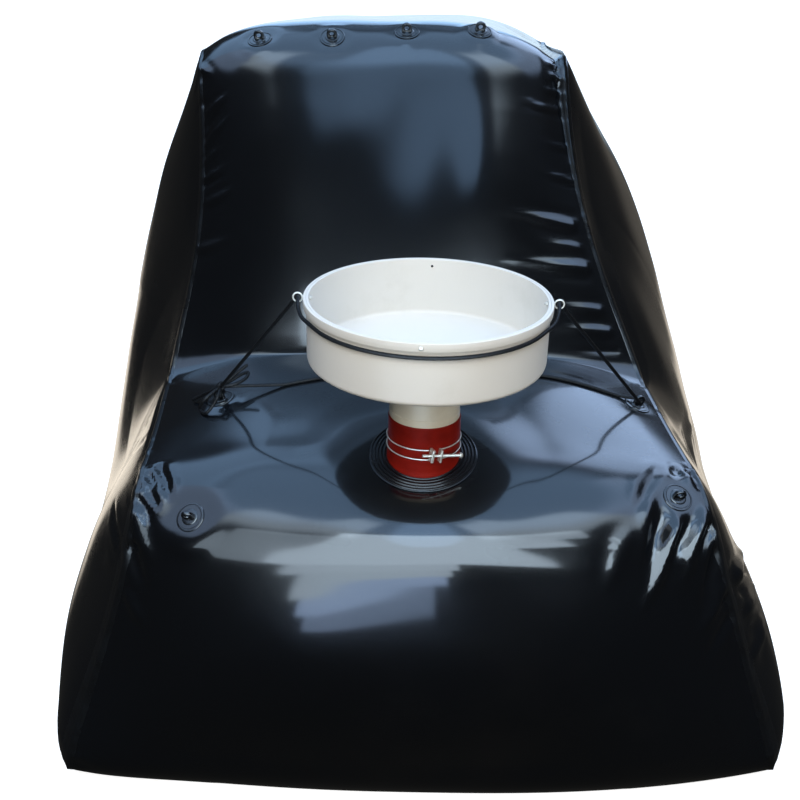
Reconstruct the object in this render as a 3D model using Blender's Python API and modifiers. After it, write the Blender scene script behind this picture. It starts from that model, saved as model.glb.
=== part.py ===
"""Household bag digester: a chair-shaped fabric bag with a tray funnel held on its seat by a cord.

Metres, +Z up, the front faces -Y. The origin is on the floor, in the middle of the bag's base.
"""
import math

import bmesh
import bpy
import numpy as np
from mathutils import Matrix, Vector
from mathutils.bvhtree import BVHTree

# Bag: skin, welded edge and the outline of its sides.
SKIN = 0.004
SEAT_GAP = 0.0003
WELT_R = 0.0045
WELT_CLEAR = 0.0007
WELT_CLEAR_SIDE = 0.00095
DEPTH = 2.06
FRONT_Y = -DEPTH / 2

# Each corner of the side outline: distance behind the front edge, height, rounding radius,
# half width between the two edge seams, sideways shift, crown over the seams before and after it,
# and how much further in the skin cuts across the corner.
CORNERS = [
    (0.000, WELT_R, 0.050, 0.617, 0.000, 0.030, 0.060, 0.000),
    (0.075, 0.522, 0.115, 0.474, 0.003, 0.122, 0.045, 0.040),
    (0.518, 0.540, 0.060, 0.463, -0.038, 0.078, 0.052, 0.000),
    (0.794, 1.113, 0.080, 0.361, -0.092, 0.058, 0.062, 0.014),
    (1.740, 1.010, 0.140, 0.380, -0.060, 0.070, 0.070, 0.000),
    (DEPTH, WELT_R, 0.050, 0.590, 0.000, 0.060, 0.020, 0.000),
]
# Each wrap panel, from one corner to the next: extra crown in its middle, waist of its edges,
# and where in the rounding of its first corner it starts (0 to 1).
PANELS = {
    "front_panel": (0.066, 0.002, 0.5),
    "seat_panel": (0.022, 0.012, 0.0),
    "backrest_panel": (0.006, 0.042, 0.5),
    "top_panel": (0.000, 0.010, 0.5),
    "rear_panel": (0.050, 0.020, 0.5),
    "floor_panel": (0.000, 0.000, 0.5),
}
ARC_STEPS = 4
STRAIGHT_STEP = 0.11
COLUMNS = 9
# How flat the crown is across the seat and, higher up, across the top.
CROWN_LEVELS = (0.60, 1.00)
CROWN_POWERS = (2.6, 4.2)
END_GAP = SEAT_GAP * 0.6

# Side panels: the point they spread from, how far gas blows each one out, how much less towards
# the front, and how steeply it rises from the seams: more so below the crease and near the floor.
SIDE_CENTRE = (1.08, 0.43)
SIDE_BULGE = {-1: 0.168, 1: 0.124}
BULGE_TILT = {-1: 0.23, 1: -0.015}
BULGE_POWER = {-1: 1.58, 1: 1.19}
TOP_TAPER = {-1: 0.32, 1: 0.15}
TAPER_LEVELS = (0.6, 1.1)
CREASE_POWER = -0.87
CREASE_REACH = 0.29
FLOOR_POWER = 1.38
FLOOR_REACH = 0.20
SIDE_RINGS = 8
SIDE_START = 0.12

# Inlet: flange on the seat, sleeve, clamp, pipe and tray.
NECK_Y = FRONT_Y + 0.137
NECK_Z = 0.5705
NECK_TILT = math.radians(14)
STACK_LEAN = math.radians(1.2)
PIPE_R = 0.055
PIPE_WALL = 0.0032
PIPE_FOOT = 0.022
PIPE_TOP = 0.172
FLANGE_R = 0.0885
FLANGE_T = 0.003
RIDGES = (0.0655, 0.0765, 0.0855)
RIDGE_H = 0.0016
RIDGE_W = 0.0045
BORE_R = 0.0515
BORE_REACH = (-0.12, 0.03)
BOSS_R = 0.093
MOUND_R = 0.128
MOUND_H = 0.045
SLEEVE_WALL = 0.0028
SLEEVE_FOOT = -0.025
SLEEVE_TOP = 0.075
RIM_TOP = 0.272
TRAY_R = 0.186
TRAY_WALL = 0.004
TRAY_FLOOR = 0.005
TRAY_CHAMFER = 0.006
BAND_H = 0.014
BAND_T = 0.0045

# Eye hooks through the rim, each with its nut inside, and the screw head on the band's front.
EYE_Z = RIM_TOP - BAND_H / 2
EYE_R = 0.0071
EYE_WIRE_R = 0.0014
EYE_HOLE_R = 0.0019
SHANK_R = 0.0016
SHANK_PAST_NUT = 0.003
SHANK_PAST_COLLAR = 0.002
NUT_R = 0.0042
NUT_T = 0.0024
DRILL_PAST = 0.01
BAND_SCREW_R = 0.0034
BAND_SCREW_T = 0.0022
BAND_SCREW_ANGLE = math.radians(-93)

# Clamp round the sleeve: two wires, a bridge, a nut block and a long screw.
WIRE_R = 0.00115
CLAMP_Z = 0.030
CLAMP_SPREAD = 0.0083
CLAMP_ANGLE = math.radians(-66)
WIRE_STEPS = 32
BRIDGE_T = 0.003
BRIDGE_HALF_H = 0.0105
BLOCK_PAST_SCREW = 0.0026
NUT_BLOCK_Y = (-0.0165, -0.0125)
NUT_BLOCK_SINK = 0.55
SCREW_R = 0.0024
SCREW_HOLE_R = 0.0027
SCREW_OUT = 0.0068
SCREW_Y = (-0.031, 0.034)
HEAD_R = 0.0046
HEAD_T = 0.004
HEAD_OVERLAP = 0.0005

# Lashing patches: a disc with a raised step, and an upright eyelet with an arched top.
PATCH_R = 0.0245
PATCH_T = 0.002
PATCH_STEP_R = 0.013
PATCH_STEP_T = 0.003
PATCH_ROOT = 0.0008
PATCH_LIFT = 0.03
EYELET_W = 0.020
EYELET_H = 0.020
EYELET_T = 0.006
EYELET_Z = EYELET_H - EYELET_W / 2
EYELET_HOLE_R = 0.0045
# Where each patch lies: a point near it, and the turn of its eyelet about the surface.
PATCHES = {
    "top_lashing_patch_1": (-0.326, FRONT_Y + 0.784, 1.136, 0),
    "top_lashing_patch_2": (-0.184, FRONT_Y + 0.775, 1.141, 0),
    "top_lashing_patch_3": (-0.040, FRONT_Y + 0.790, 1.149, 0),
    "top_lashing_patch_4": (0.102, FRONT_Y + 0.803, 1.150, 0),
    "front_lashing_patch_left": (-0.371, FRONT_Y + 0.055, 0.496, 0),
    "front_lashing_patch_right": (0.411, FRONT_Y + 0.101, 0.517, 0),
    "stay_patch_left": (-0.364, FRONT_Y + 0.333, 0.572, -20),
    "stay_patch_right": (0.388, FRONT_Y + 0.372, 0.551, 200),
}

# Stay cord: how it lies under the rim band, turns through the eyelets and rests on the seat.
CORD_R = 0.003
CORD_SPACING = 0.05
CORD_REST = 0.0022
REST_STEPS = 18
CORD_LOW = RIM_TOP - BAND_H - CORD_R - 0.005
WRAP_START = 213
WRAP_STEP = 11.4
WRAP_COUNT = 11
TURN_R = 0.0075
TURN_OUT = 0.0068
KNOT_OUT = 0.026
KNOT_UP = 0.006
KNOT_R = 0.0105
# The bow's loops and tail, as points from the knot in the left stay patch's frame.
FIRST_LOOP = [(0, 0, 0.0015), (0.012, 0, 0.0025), (0.024, -0.001, 0.007), (0.037, -0.001, 0.008),
              (0.042, 0, 0.004), (0.030, 0.001, 0.001), (0.012, 0, 0.0015), (0, 0, 0.001)]
SECOND_LOOP = [(0, 0, 0), (-0.006, -0.016, 0.004), (-0.016, -0.034, 0.001),
               (-0.030, -0.036, -0.001), (-0.026, -0.018, 0.006), (0, 0, 0.001)]
TAIL = [(0, 0, 0), (-0.014, -0.006, 0.008), (-0.034, -0.012, 0.004)]


def clear_scene():
    """Remove whatever the file holds before the model is made."""
    for thing in list(bpy.data.objects):
        bpy.data.objects.remove(thing, do_unlink=True)


def new_collection(name):
    """Make a collection under the scene's own."""
    made = bpy.data.collections.new(name)
    bpy.context.scene.collection.children.link(made)
    return made


clear_scene()
MODEL = new_collection("biogas_digester")
CUTTERS = new_collection("cutters")


def material(name, colour, roughness, metallic=0.0):
    """A Principled BSDF with the part's colour, roughness and metallic value."""
    made = bpy.data.materials.new(name)
    made.use_nodes = True
    shader = made.node_tree.nodes["Principled BSDF"]
    shader.inputs["Base Color"].default_value = (*colour, 1)
    shader.inputs["Roughness"].default_value = roughness
    shader.inputs["Metallic"].default_value = metallic
    return made


BAG_FABRIC = material("bag_fabric", (0.010, 0.011, 0.014), 0.22)
BAG_RUBBER = material("bag_fitting", (0.012, 0.012, 0.013), 0.40)
WHITE_PLASTIC = material("tray_plastic", (0.80, 0.80, 0.78), 0.35)
PIPE_PLASTIC = material("pipe_plastic", (0.76, 0.75, 0.68), 0.35)
RED_RUBBER = material("sleeve_rubber", (0.26, 0.020, 0.012), 0.45)
STEEL = material("steel", (0.62, 0.61, 0.58), 0.25, 1.0)
CORD_BLACK = material("cord", (0.010, 0.010, 0.011), 0.60)


def add_object(name, mesh, finish, parent=None, cutter=False):
    """Put a mesh in the model, or among the cutters."""
    made = bpy.data.objects.new(name, mesh)
    made.data.materials.clear()
    made.data.materials.append(finish)
    if cutter:
        CUTTERS.objects.link(made)
        made.hide_render = True
        made.display_type = "WIRE"
    else:
        MODEL.objects.link(made)
    made.parent = parent
    return made


def add_empty(name, place, turn, parent=None):
    """An empty that carries a group of pieces."""
    made = bpy.data.objects.new(name, None)
    MODEL.objects.link(made)
    made.parent = parent
    made.matrix_local = Matrix.Translation(place) @ turn
    return made


def boolean(target, cutter, operation="DIFFERENCE"):
    """Cut or join two meshes."""
    step = target.modifiers.new(operation.lower(), "BOOLEAN")
    step.operation = operation
    step.object = cutter
    step.solver = "EXACT"
    return step


def smooth(made, angle=35):
    """Shade a round piece smooth, with its edges kept."""
    made.data.shade_smooth()
    made.data.set_sharp_from_angle(angle=math.radians(angle))
    return made


def unit(vectors):
    """Vectors of length one."""
    return vectors / np.linalg.norm(vectors, axis=-1, keepdims=True)


# The bag's outline: stations around its side, from the front edge up, back and round underneath.

def corner_arc(index):
    """The points that round one corner of the side outline."""
    before, here, after = (CORNERS[(index + step) % len(CORNERS)] for step in (-1, 0, 1))
    corner = Vector(here[:2])
    back = (Vector(before[:2]) - corner).normalized()
    ahead = (Vector(after[:2]) - corner).normalized()
    half = back.angle(ahead) / 2
    radius = here[2]
    centre = corner + (back + ahead).normalized() * radius / math.sin(half)
    first = corner + back * radius / math.tan(half) - centre
    last = corner + ahead * radius / math.tan(half) - centre
    sweep = first.angle_signed(last)
    points = []
    for step in range(ARC_STEPS + 1):
        turned = Matrix.Rotation(-sweep * step / ARC_STEPS, 2) @ first
        points.append(centre + turned)
    return points


def side_outline():
    """All points of the outline, and the indexes where each panel and each rounding starts."""
    arcs = [corner_arc(index) for index in range(len(CORNERS))]
    panel_starts = [values[2] for values in PANELS.values()]
    points = []
    marks = []
    arc_starts = []
    for index, arc in enumerate(arcs):
        arc_starts.append(len(points))
        marks.append(len(points) + round(panel_starts[index] * ARC_STEPS))
        points += arc
        ahead = arcs[(index + 1) % len(arcs)][0]
        pieces = max(1, round((ahead - arc[-1]).length / STRAIGHT_STEP))
        points += [arc[-1].lerp(ahead, step / pieces) for step in range(1, pieces)]
    return np.array([tuple(point) for point in points]), marks, arc_starts


def lengths_ahead(points):
    """The distance from each point of the closed outline to the next."""
    return np.linalg.norm(np.roll(points, -1, axis=0) - points, axis=1)


def between(lengths, first, last, start, end, extra):
    """Values that run from start to end between two places of the outline, with a hump."""
    count = len(lengths)
    places = [(first + step) % count for step in range((last - first) % count + 1)]
    done = np.concatenate([[0], np.cumsum(lengths[places[:-1]])])
    shares = done / done[-1]
    return places, start + (end - start) * shares + extra * 4 * shares * (1 - shares)


def evened(values, points, passes=2):
    """Round off the kinks of a value that changes along the closed outline."""
    ahead = lengths_ahead(points)
    behind = np.roll(ahead, 1)
    for _ in range(passes):
        middle = (np.roll(values, 1) * ahead + np.roll(values, -1) * behind) / (ahead + behind)
        values = (values + middle) / 2
    return values


def stations():
    """Outline points, outward directions, half widths, shifts and crowns, and the panel starts."""
    points, marks, arcs = side_outline()
    lengths = lengths_ahead(points)
    half_width, shift, crown = np.zeros((3, len(points)))
    for run, (hump, waist, _) in enumerate(PANELS.values()):
        after = (run + 1) % len(CORNERS)
        here = CORNERS[run]
        there = CORNERS[after]
        arc_end = arcs[run] + ARC_STEPS
        for values, *path in (
            (half_width, marks[run], marks[after], here[3], there[3], -waist),
            (shift, marks[run], marks[after], here[4], there[4], 0),
            (crown, arcs[run], arc_end, here[5], here[6], -here[7]),
            (crown, arc_end, arcs[after], here[6], there[5], hump),
        ):
            places, found = between(lengths, *path)
            values[places] = found
    tables = [evened(values, points) for values in (half_width, shift, crown)]
    ahead = unit(np.roll(points, -1, axis=0) - np.roll(points, 1, axis=0))
    outward = np.stack([-ahead[:, 1], ahead[:, 0]], axis=1)
    return points, outward, tables, marks


POINTS, OUTWARD, (HALF_WIDTH, SHIFT, CROWN), MARKS = stations()


def wrap_point(station, across):
    """A point of the wrap's middle surface; across runs from -1 at the left seam to 1."""
    power = np.interp(POINTS[station][1], CROWN_LEVELS, CROWN_POWERS)
    rise = CROWN[station] * (1 - abs(across) ** power)
    y, z = POINTS[station] + OUTWARD[station] * rise
    x = SHIFT[station] + across * HALF_WIDTH[station]
    return np.array([x, FRONT_Y + y, max(z, SKIN / 2)])


def seam_line(side):
    """All points of an edge seam; side is -1 left, 1 right."""
    return np.array([wrap_point(station, side) for station in range(len(POINTS))])


SEAMS = {side: seam_line(side) for side in (-1, 1)}


def sheet_heights(points, seam):
    """For points of the side plane: the seam's x carried smoothly inward, and how far from the seam."""
    corners = seam[:, 1:]
    to_corners = corners[None] - points[:, None]
    ahead = np.roll(to_corners, -1, axis=1)
    reach = np.linalg.norm(to_corners, axis=2)
    reach_ahead = np.roll(reach, -1, axis=1)
    cross = to_corners[..., 0] * ahead[..., 1] - to_corners[..., 1] * ahead[..., 0]
    dot = (to_corners * ahead).sum(axis=2)
    half_tangent = cross / (reach * reach_ahead + dot + 1e-12)
    weights = (half_tangent + np.roll(half_tangent, 1, axis=1)) / reach
    x = (weights * seam[:, 0]).sum(axis=1) / weights.sum(axis=1)
    edge = np.linalg.norm(np.roll(corners, -1, axis=0) - corners, axis=1)
    turn = np.sinc(np.arctan2(cross, dot) / math.pi)
    nearness = (edge / (reach * reach_ahead * turn + 1e-12)).sum(axis=1)
    return x, math.pi / nearness


def blown_out(points, depth, side):
    """How far gas blows a side panel out at its points."""
    behind_front = points[:, 1] - FRONT_Y
    height = points[:, 2]
    from_crease = np.hypot(behind_front - CORNERS[2][0], height - CORNERS[2][1])
    power = (BULGE_POWER[side] + CREASE_POWER * np.exp(-(from_crease / CREASE_REACH) ** 2)
             + FLOOR_POWER * np.exp(-(height / FLOOR_REACH) ** 2))
    fullness = 1 - (1 - depth) ** np.maximum(power, 1)
    tilt = 1 + BULGE_TILT[side] * (behind_front - SIDE_CENTRE[0])
    taper = 1 - TOP_TAPER[side] * np.interp(height, TAPER_LEVELS, (0, 1))
    return side * SIDE_BULGE[side] * tilt * taper * fullness


def side_grid(side):
    """Rings of a side panel's middle points, from near its centre out to the seam."""
    seam = SEAMS[side]
    centre = np.array([[FRONT_Y + SIDE_CENTRE[0], SIDE_CENTRE[1]]])
    deepest = sheet_heights(centre, seam)[1]
    rings = []
    for share in np.linspace(SIDE_START, 1, SIDE_RINGS + 1)[:-1]:
        flat = centre + (seam[:, 1:] - centre) * share * (1.3 - 0.3 * share)
        x, depth = sheet_heights(flat, seam)
        ring = np.column_stack([x, flat])
        ring[:, 0] += blown_out(ring, np.minimum(depth / deepest, 1), side)
        rings.append(ring)
    return np.array(rings + [seam])


def seam_distance(point, station, side):
    """How far a point is from the edge seam's line near a station."""
    distances = []
    for step in range(-2, 2):
        start = SEAMS[side][(station + step) % len(POINTS)]
        along = SEAMS[side][(station + step + 1) % len(POINTS)] - start
        share = np.clip((point - start).dot(along) / along.dot(along), 0, 1)
        distances.append(np.linalg.norm(point - start - along * share))
    return min(distances)


def clear_of_seam(edge, inner, normal, station, side, clear):
    """Draw a skin's edge back until both its faces clear the welded seam."""
    inward = unit(inner - edge)
    while True:
        faces = [edge + normal * SKIN / 2, edge - normal * SKIN / 2, edge]
        if min(seam_distance(face, station, side) for face in faces) > WELT_R + clear:
            return edge
        edge = edge + inward * SEAT_GAP


def skin_solid(name, grid, normals, closed_round, finish):
    """A thick skin from rows of middle points: outer face, inner face and the edges between."""
    mesh = bmesh.new()
    layers = []
    for shift in (SKIN / 2, -SKIN / 2):
        layers.append([[mesh.verts.new(point + normal * shift) for point, normal in zip(*pair)]
                       for pair in zip(grid, normals)])
    rows = len(grid)
    columns = len(grid[0])
    column_steps = columns if closed_round else columns - 1
    for layer in layers:
        for row in range(rows - 1):
            for column in range(column_steps):
                beside = (column + 1) % columns
                corners = [layer[row][column], layer[row][beside],
                           layer[row + 1][beside], layer[row + 1][column]]
                mesh.faces.new(corners)
    if closed_round:
        edges = [[layer[-1] + layer[-1][:1] for layer in layers]]
        for layer in layers:
            mesh.faces.new(layer[0])
    else:
        edges = [[layer[0] for layer in layers], [layer[-1] for layer in layers],
                 [[row[0] for row in layer] for layer in layers],
                 [[row[-1] for row in layer] for layer in layers]]
    for outer, inner in edges:
        for step in range(len(outer) - 1):
            mesh.faces.new([outer[step], outer[step + 1], inner[step + 1], inner[step]])
    bmesh.ops.triangulate(mesh, faces=mesh.faces[:])
    bmesh.ops.recalc_face_normals(mesh, faces=mesh.faces[:])
    data = bpy.data.meshes.new(name)
    mesh.to_mesh(data)
    mesh.free()
    return add_object(name, data, finish)


def make_wrap():
    """The six panels that run round the bag, from the front edge over the top to the floor."""
    count = len(POINTS)
    grid = np.zeros((count, COLUMNS, 3))
    for station in range(count):
        for column in range(COLUMNS):
            grid[station, column] = wrap_point(station, 2 * column / (COLUMNS - 1) - 1)
    along = np.roll(grid, -1, axis=0) - np.roll(grid, 1, axis=0)
    sideways = np.gradient(grid, axis=1)
    normals = unit(np.cross(sideways, along))
    for station in range(count):
        for edge, inner, side in ((0, 1, -1), (-1, -2, 1)):
            grid[station, edge] = clear_of_seam(grid[station, edge], grid[station, inner],
                                                normals[station, edge], station, side, WELT_CLEAR)
    panels = []
    for index, name in enumerate(PANELS):
        run = (MARKS[(index + 1) % len(MARKS)] - MARKS[index]) % count
        rows = [(MARKS[index] + step) % count for step in range(run + 1)]
        part = grid[rows].copy()
        for end, inner in ((0, 1), (-1, -2)):
            step = part[inner] - part[end]
            part[end] += unit(step) * END_GAP
        panels.append(skin_solid(name, part, normals[rows], False, BAG_FABRIC))
    return panels


def make_side(name, side):
    """One end of the bag, which bulges between the seams."""
    grid = side_grid(side)
    around = np.roll(grid, -1, axis=1) - np.roll(grid, 1, axis=1)
    outwards = np.gradient(grid, axis=0)
    normals = unit(np.cross(around, outwards))
    if normals[1, 0, 0] * side < 0:
        normals = -normals
    for station in range(len(POINTS)):
        grid[-1, station] = clear_of_seam(grid[-1, station], grid[-2, station], normals[-1, station],
                                          station, side, WELT_CLEAR_SIDE)
    return skin_solid(name, grid, normals, True, BAG_FABRIC)


def tube(name, points, radius, finish, closed=False, parent=None, sides=8, cutter=False):
    """A round bar through points, as a curve with a bevel."""
    data = bpy.data.curves.new(name, "CURVE")
    data.dimensions = "3D"
    data.bevel_depth = radius
    data.bevel_resolution = (sides - 4) // 2
    data.use_fill_caps = not closed
    data.resolution_u = 1
    spline = data.splines.new("POLY")
    spline.points.add(len(points) - 1)
    for place, point in zip(spline.points, points):
        place.co = (*point, 1)
    spline.use_cyclic_u = closed
    made = bpy.data.objects.new(name, data)
    data.materials.append(finish)
    (CUTTERS if cutter else MODEL).objects.link(made)
    if cutter:
        made.hide_render = True
        made.display_type = "WIRE"
    made.parent = parent
    return made


def tube_mesh(name, points, radius, finish, parent=None, sides=8, cutter=True, closed=False):
    """The same bar as a mesh with welded caps, for cutting and joining."""
    curve = tube(name + "_curve", points, radius, finish, closed, parent, sides, True)
    bpy.context.view_layer.update()
    evaluated = curve.evaluated_get(bpy.context.evaluated_depsgraph_get())
    data = bpy.data.meshes.new_from_object(evaluated)
    mesh = bmesh.new()
    mesh.from_mesh(data)
    bmesh.ops.remove_doubles(mesh, verts=mesh.verts[:], dist=1e-6)
    bmesh.ops.recalc_face_normals(mesh, faces=mesh.faces[:])
    mesh.to_mesh(data)
    mesh.free()
    data.name = name
    place = curve.matrix_world.copy()
    bpy.data.objects.remove(curve, do_unlink=True)
    made = add_object(name, data, finish, None, cutter)
    made.matrix_world = place
    return made


def make_seam(name, side):
    """The welded edge between the wrap and one side panel."""
    return tube(name, SEAMS[side], WELT_R, BAG_FABRIC, closed=True, sides=6)


def turned(name, profile, finish, parent=None, steps=32, cutter=False):
    """A turned shape: a closed profile of radius and height, run round its axis."""
    data = bpy.data.meshes.new(name)
    count = len(profile)
    edges = [(step, (step + 1) % count) for step in range(count)]
    data.from_pydata([(radius, 0, height) for radius, height in profile], edges, [])
    made = add_object(name, data, finish, parent, cutter)
    screw = made.modifiers.new("turn", "SCREW")
    screw.angle = math.tau
    screw.steps = steps
    screw.render_steps = steps
    screw.use_merge_vertices = True
    screw.merge_threshold = 0.0001
    screw.use_smooth_shade = True
    return made


def ring_profile(inner, outer, low, high):
    """A plain ring's profile, down its outer side first."""
    return [(outer, high), (outer, low), (inner, low), (inner, high)]


def cylinder(name, radius, low, high, finish, parent=None, sides=24, cutter=True, top_radius=None):
    """A cylinder or cone on its parent's Z axis."""
    mesh = bmesh.new()
    top = radius if top_radius is None else top_radius
    bmesh.ops.create_cone(mesh, cap_ends=True, segments=sides, radius1=radius, radius2=top,
                          depth=high - low)
    bmesh.ops.translate(mesh, verts=mesh.verts[:], vec=(0, 0, (high + low) / 2))
    data = bpy.data.meshes.new(name)
    mesh.to_mesh(data)
    mesh.free()
    return add_object(name, data, finish, parent, cutter)


def box(name, low, high, finish, parent=None, cutter=True):
    """A box between two corners."""
    mesh = bmesh.new()
    bmesh.ops.create_cube(mesh, size=1)
    low = Vector(low)
    high = Vector(high)
    bmesh.ops.scale(mesh, verts=mesh.verts[:], vec=high - low)
    bmesh.ops.translate(mesh, verts=mesh.verts[:], vec=(high + low) / 2)
    data = bpy.data.meshes.new(name)
    mesh.to_mesh(data)
    mesh.free()
    return add_object(name, data, finish, parent, cutter)


def flange_profile():
    """The flange's section: a plate with three round ridges on top."""
    top = [(FLANGE_R, FLANGE_T)]
    for middle in reversed(RIDGES):
        for step, rise in ((0.5, 0), (0.2, 1), (-0.2, 1), (-0.5, 0)):
            radius = min(middle + step * RIDGE_W, FLANGE_R)
            top.append((radius, FLANGE_T + rise * RIDGE_H))
    profile = [(FLANGE_R, 0), (BORE_R, 0), (BORE_R, FLANGE_T)]
    return profile + top[1:][::-1] + [top[0]]


def make_flange(seat, neck):
    """The ridged flange, and the low mound of the seat that it is fixed on."""
    mound = cylinder("flange_mound", MOUND_R, -MOUND_H, -SEAT_GAP, BAG_FABRIC, neck, 40, True, BOSS_R)
    bore = cylinder("seat_bore", BORE_R, *BORE_REACH, BAG_FABRIC, neck, 40)
    boolean(seat, mound, "UNION")
    boolean(seat, bore)
    return turned("inlet_flange", flange_profile(), BAG_RUBBER, neck, 40)


def make_sleeve(neck, stack):
    """The red sleeve between flange and pipe, cut off slanting where it meets the flange."""
    inner = PIPE_R + SEAT_GAP
    profile = ring_profile(inner, inner + SLEEVE_WALL, SLEEVE_FOOT, SLEEVE_TOP)
    sleeve = turned("inlet_sleeve", profile, RED_RUBBER, stack, 40)
    low_cut = FLANGE_T + SEAT_GAP
    cutter = box("sleeve_foot", (-FLANGE_R, -FLANGE_R, -FLANGE_R), (FLANGE_R, FLANGE_R, low_cut),
                 RED_RUBBER, neck)
    boolean(sleeve, cutter)


def make_pipe_and_tray(stack):
    """The pipe, the tray with its drain, and the band round its rim."""
    bore = PIPE_R - PIPE_WALL
    turned("inlet_pipe", ring_profile(bore, PIPE_R, PIPE_FOOT, PIPE_TOP), PIPE_PLASTIC, stack, 40)
    low = PIPE_TOP + SEAT_GAP
    profile = [(TRAY_R, RIM_TOP), (TRAY_R, low + TRAY_CHAMFER), (TRAY_R - TRAY_CHAMFER, low),
               (bore, low), (bore, low + TRAY_FLOOR), (TRAY_R - TRAY_WALL, low + TRAY_FLOOR),
               (TRAY_R - TRAY_WALL, RIM_TOP)]
    tray = turned("tray_body", profile, WHITE_PLASTIC, stack, 48)
    inner = TRAY_R + SEAT_GAP
    band = turned("tray_rim_band", ring_profile(inner, inner + BAND_T, RIM_TOP - BAND_H, RIM_TOP),
                  WHITE_PLASTIC, stack, 48)
    return tray, band


def make_eye_hook(name, nut_name, side, tray, band, stack):
    """A ring on a threaded shank through band and tray wall, with its nut inside the tray."""
    turn = Matrix.Rotation(0 if side > 0 else math.pi, 4, "Z")
    frame = add_empty(name + "_frame", (0, 0, EYE_Z), turn, stack)
    axis = Matrix.Rotation(math.pi / 2, 4, "Y")
    band_out = TRAY_R + SEAT_GAP + BAND_T
    wall_in = TRAY_R - TRAY_WALL
    collar = band_out + SEAT_GAP
    drill = cylinder(name + "_drill", EYE_HOLE_R, wall_in - DRILL_PAST, band_out + DRILL_PAST, STEEL,
                     frame, 12)
    drill.matrix_local = axis
    boolean(tray, drill)
    boolean(band, drill)
    hook = cylinder(name, SHANK_R, wall_in - NUT_T - SHANK_PAST_NUT, collar + SHANK_PAST_COLLAR,
                    STEEL, frame, 12, False)
    hook.matrix_local = axis
    points = []
    for step in range(20):
        angle = math.tau * step / 20
        points.append((collar + EYE_WIRE_R + EYE_R + EYE_R * math.cos(angle), 0, EYE_R * math.sin(angle)))
    ring = tube_mesh(name + "_ring", points, EYE_WIRE_R, STEEL, frame, 6, True, True)
    boolean(hook, ring, "UNION")
    nut = cylinder(nut_name, NUT_R, wall_in - SEAT_GAP - NUT_T, wall_in - SEAT_GAP, STEEL, frame, 6, False)
    nut.matrix_local = axis
    nut_drill = cylinder(nut_name + "_drill", EYE_HOLE_R, wall_in - DRILL_PAST, wall_in, STEEL, frame, 12)
    nut_drill.matrix_local = axis
    boolean(nut, nut_drill)


def make_band_screw(stack):
    """The small screw head on the front of the rim band."""
    turn = Matrix.Rotation(BAND_SCREW_ANGLE, 4, "Z")
    frame = add_empty("band_screw_frame", (0, 0, EYE_Z), turn, stack)
    out = TRAY_R + SEAT_GAP + BAND_T
    head = cylinder("band_screw_front", BAND_SCREW_R, out + SEAT_GAP, out + BAND_SCREW_T, STEEL, frame,
                    14, False)
    head.matrix_local = Matrix.Rotation(math.pi / 2, 4, "Y")


def make_clamp(stack):
    """The double-wire clamp round the sleeve: two wires, a bridge, a nut block and a long screw."""
    seat_r = PIPE_R + SEAT_GAP + SLEEVE_WALL + SEAT_GAP
    frame = add_empty("clamp_frame", (0, 0, CLAMP_Z), Matrix.Rotation(CLAMP_ANGLE, 4, "Z"), stack)
    wire_r = seat_r + WIRE_R
    start = (BRIDGE_T / 2 + SEAT_GAP) / wire_r
    end = math.tau + (NUT_BLOCK_Y[0] - SEAT_GAP) / wire_r
    for name, level in (("clamp_wire_upper", CLAMP_SPREAD), ("clamp_wire_lower", -CLAMP_SPREAD)):
        points = []
        for step in range(WIRE_STEPS + 1):
            angle = start + (end - start) * step / WIRE_STEPS
            points.append((wire_r * math.cos(angle), wire_r * math.sin(angle), level))
        tube(name, points, WIRE_R, STEEL, parent=frame, sides=6)
    bend = seat_r - math.sqrt(seat_r ** 2 - NUT_BLOCK_Y[0] ** 2)
    outer = seat_r + SCREW_OUT + SCREW_R + BLOCK_PAST_SCREW
    bridge = box("clamp_bridge", (seat_r, -BRIDGE_T / 2, -BRIDGE_HALF_H),
                 (outer, BRIDGE_T / 2, BRIDGE_HALF_H), STEEL, frame, False)
    nut = box("clamp_nut", (seat_r - bend * NUT_BLOCK_SINK, NUT_BLOCK_Y[0], -BRIDGE_HALF_H),
              (outer, NUT_BLOCK_Y[1], BRIDGE_HALF_H), STEEL, frame, False)
    along = Matrix.Translation((seat_r + SCREW_OUT, 0, 0)) @ Matrix.Rotation(-math.pi / 2, 4, "X")
    drill = cylinder("clamp_drill", SCREW_HOLE_R, *SCREW_Y, STEEL, frame, 12)
    drill.matrix_local = along
    boolean(bridge, drill)
    boolean(nut, drill)
    screw = cylinder("clamp_screw", SCREW_R, SCREW_Y[0], SCREW_Y[1], STEEL, frame, 12, False)
    screw.matrix_local = along
    head = cylinder("clamp_screw_head", HEAD_R, SCREW_Y[1] - HEAD_OVERLAP, SCREW_Y[1] + HEAD_T, STEEL,
                    frame, 6)
    head.matrix_local = along
    boolean(screw, head, "UNION")


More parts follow.
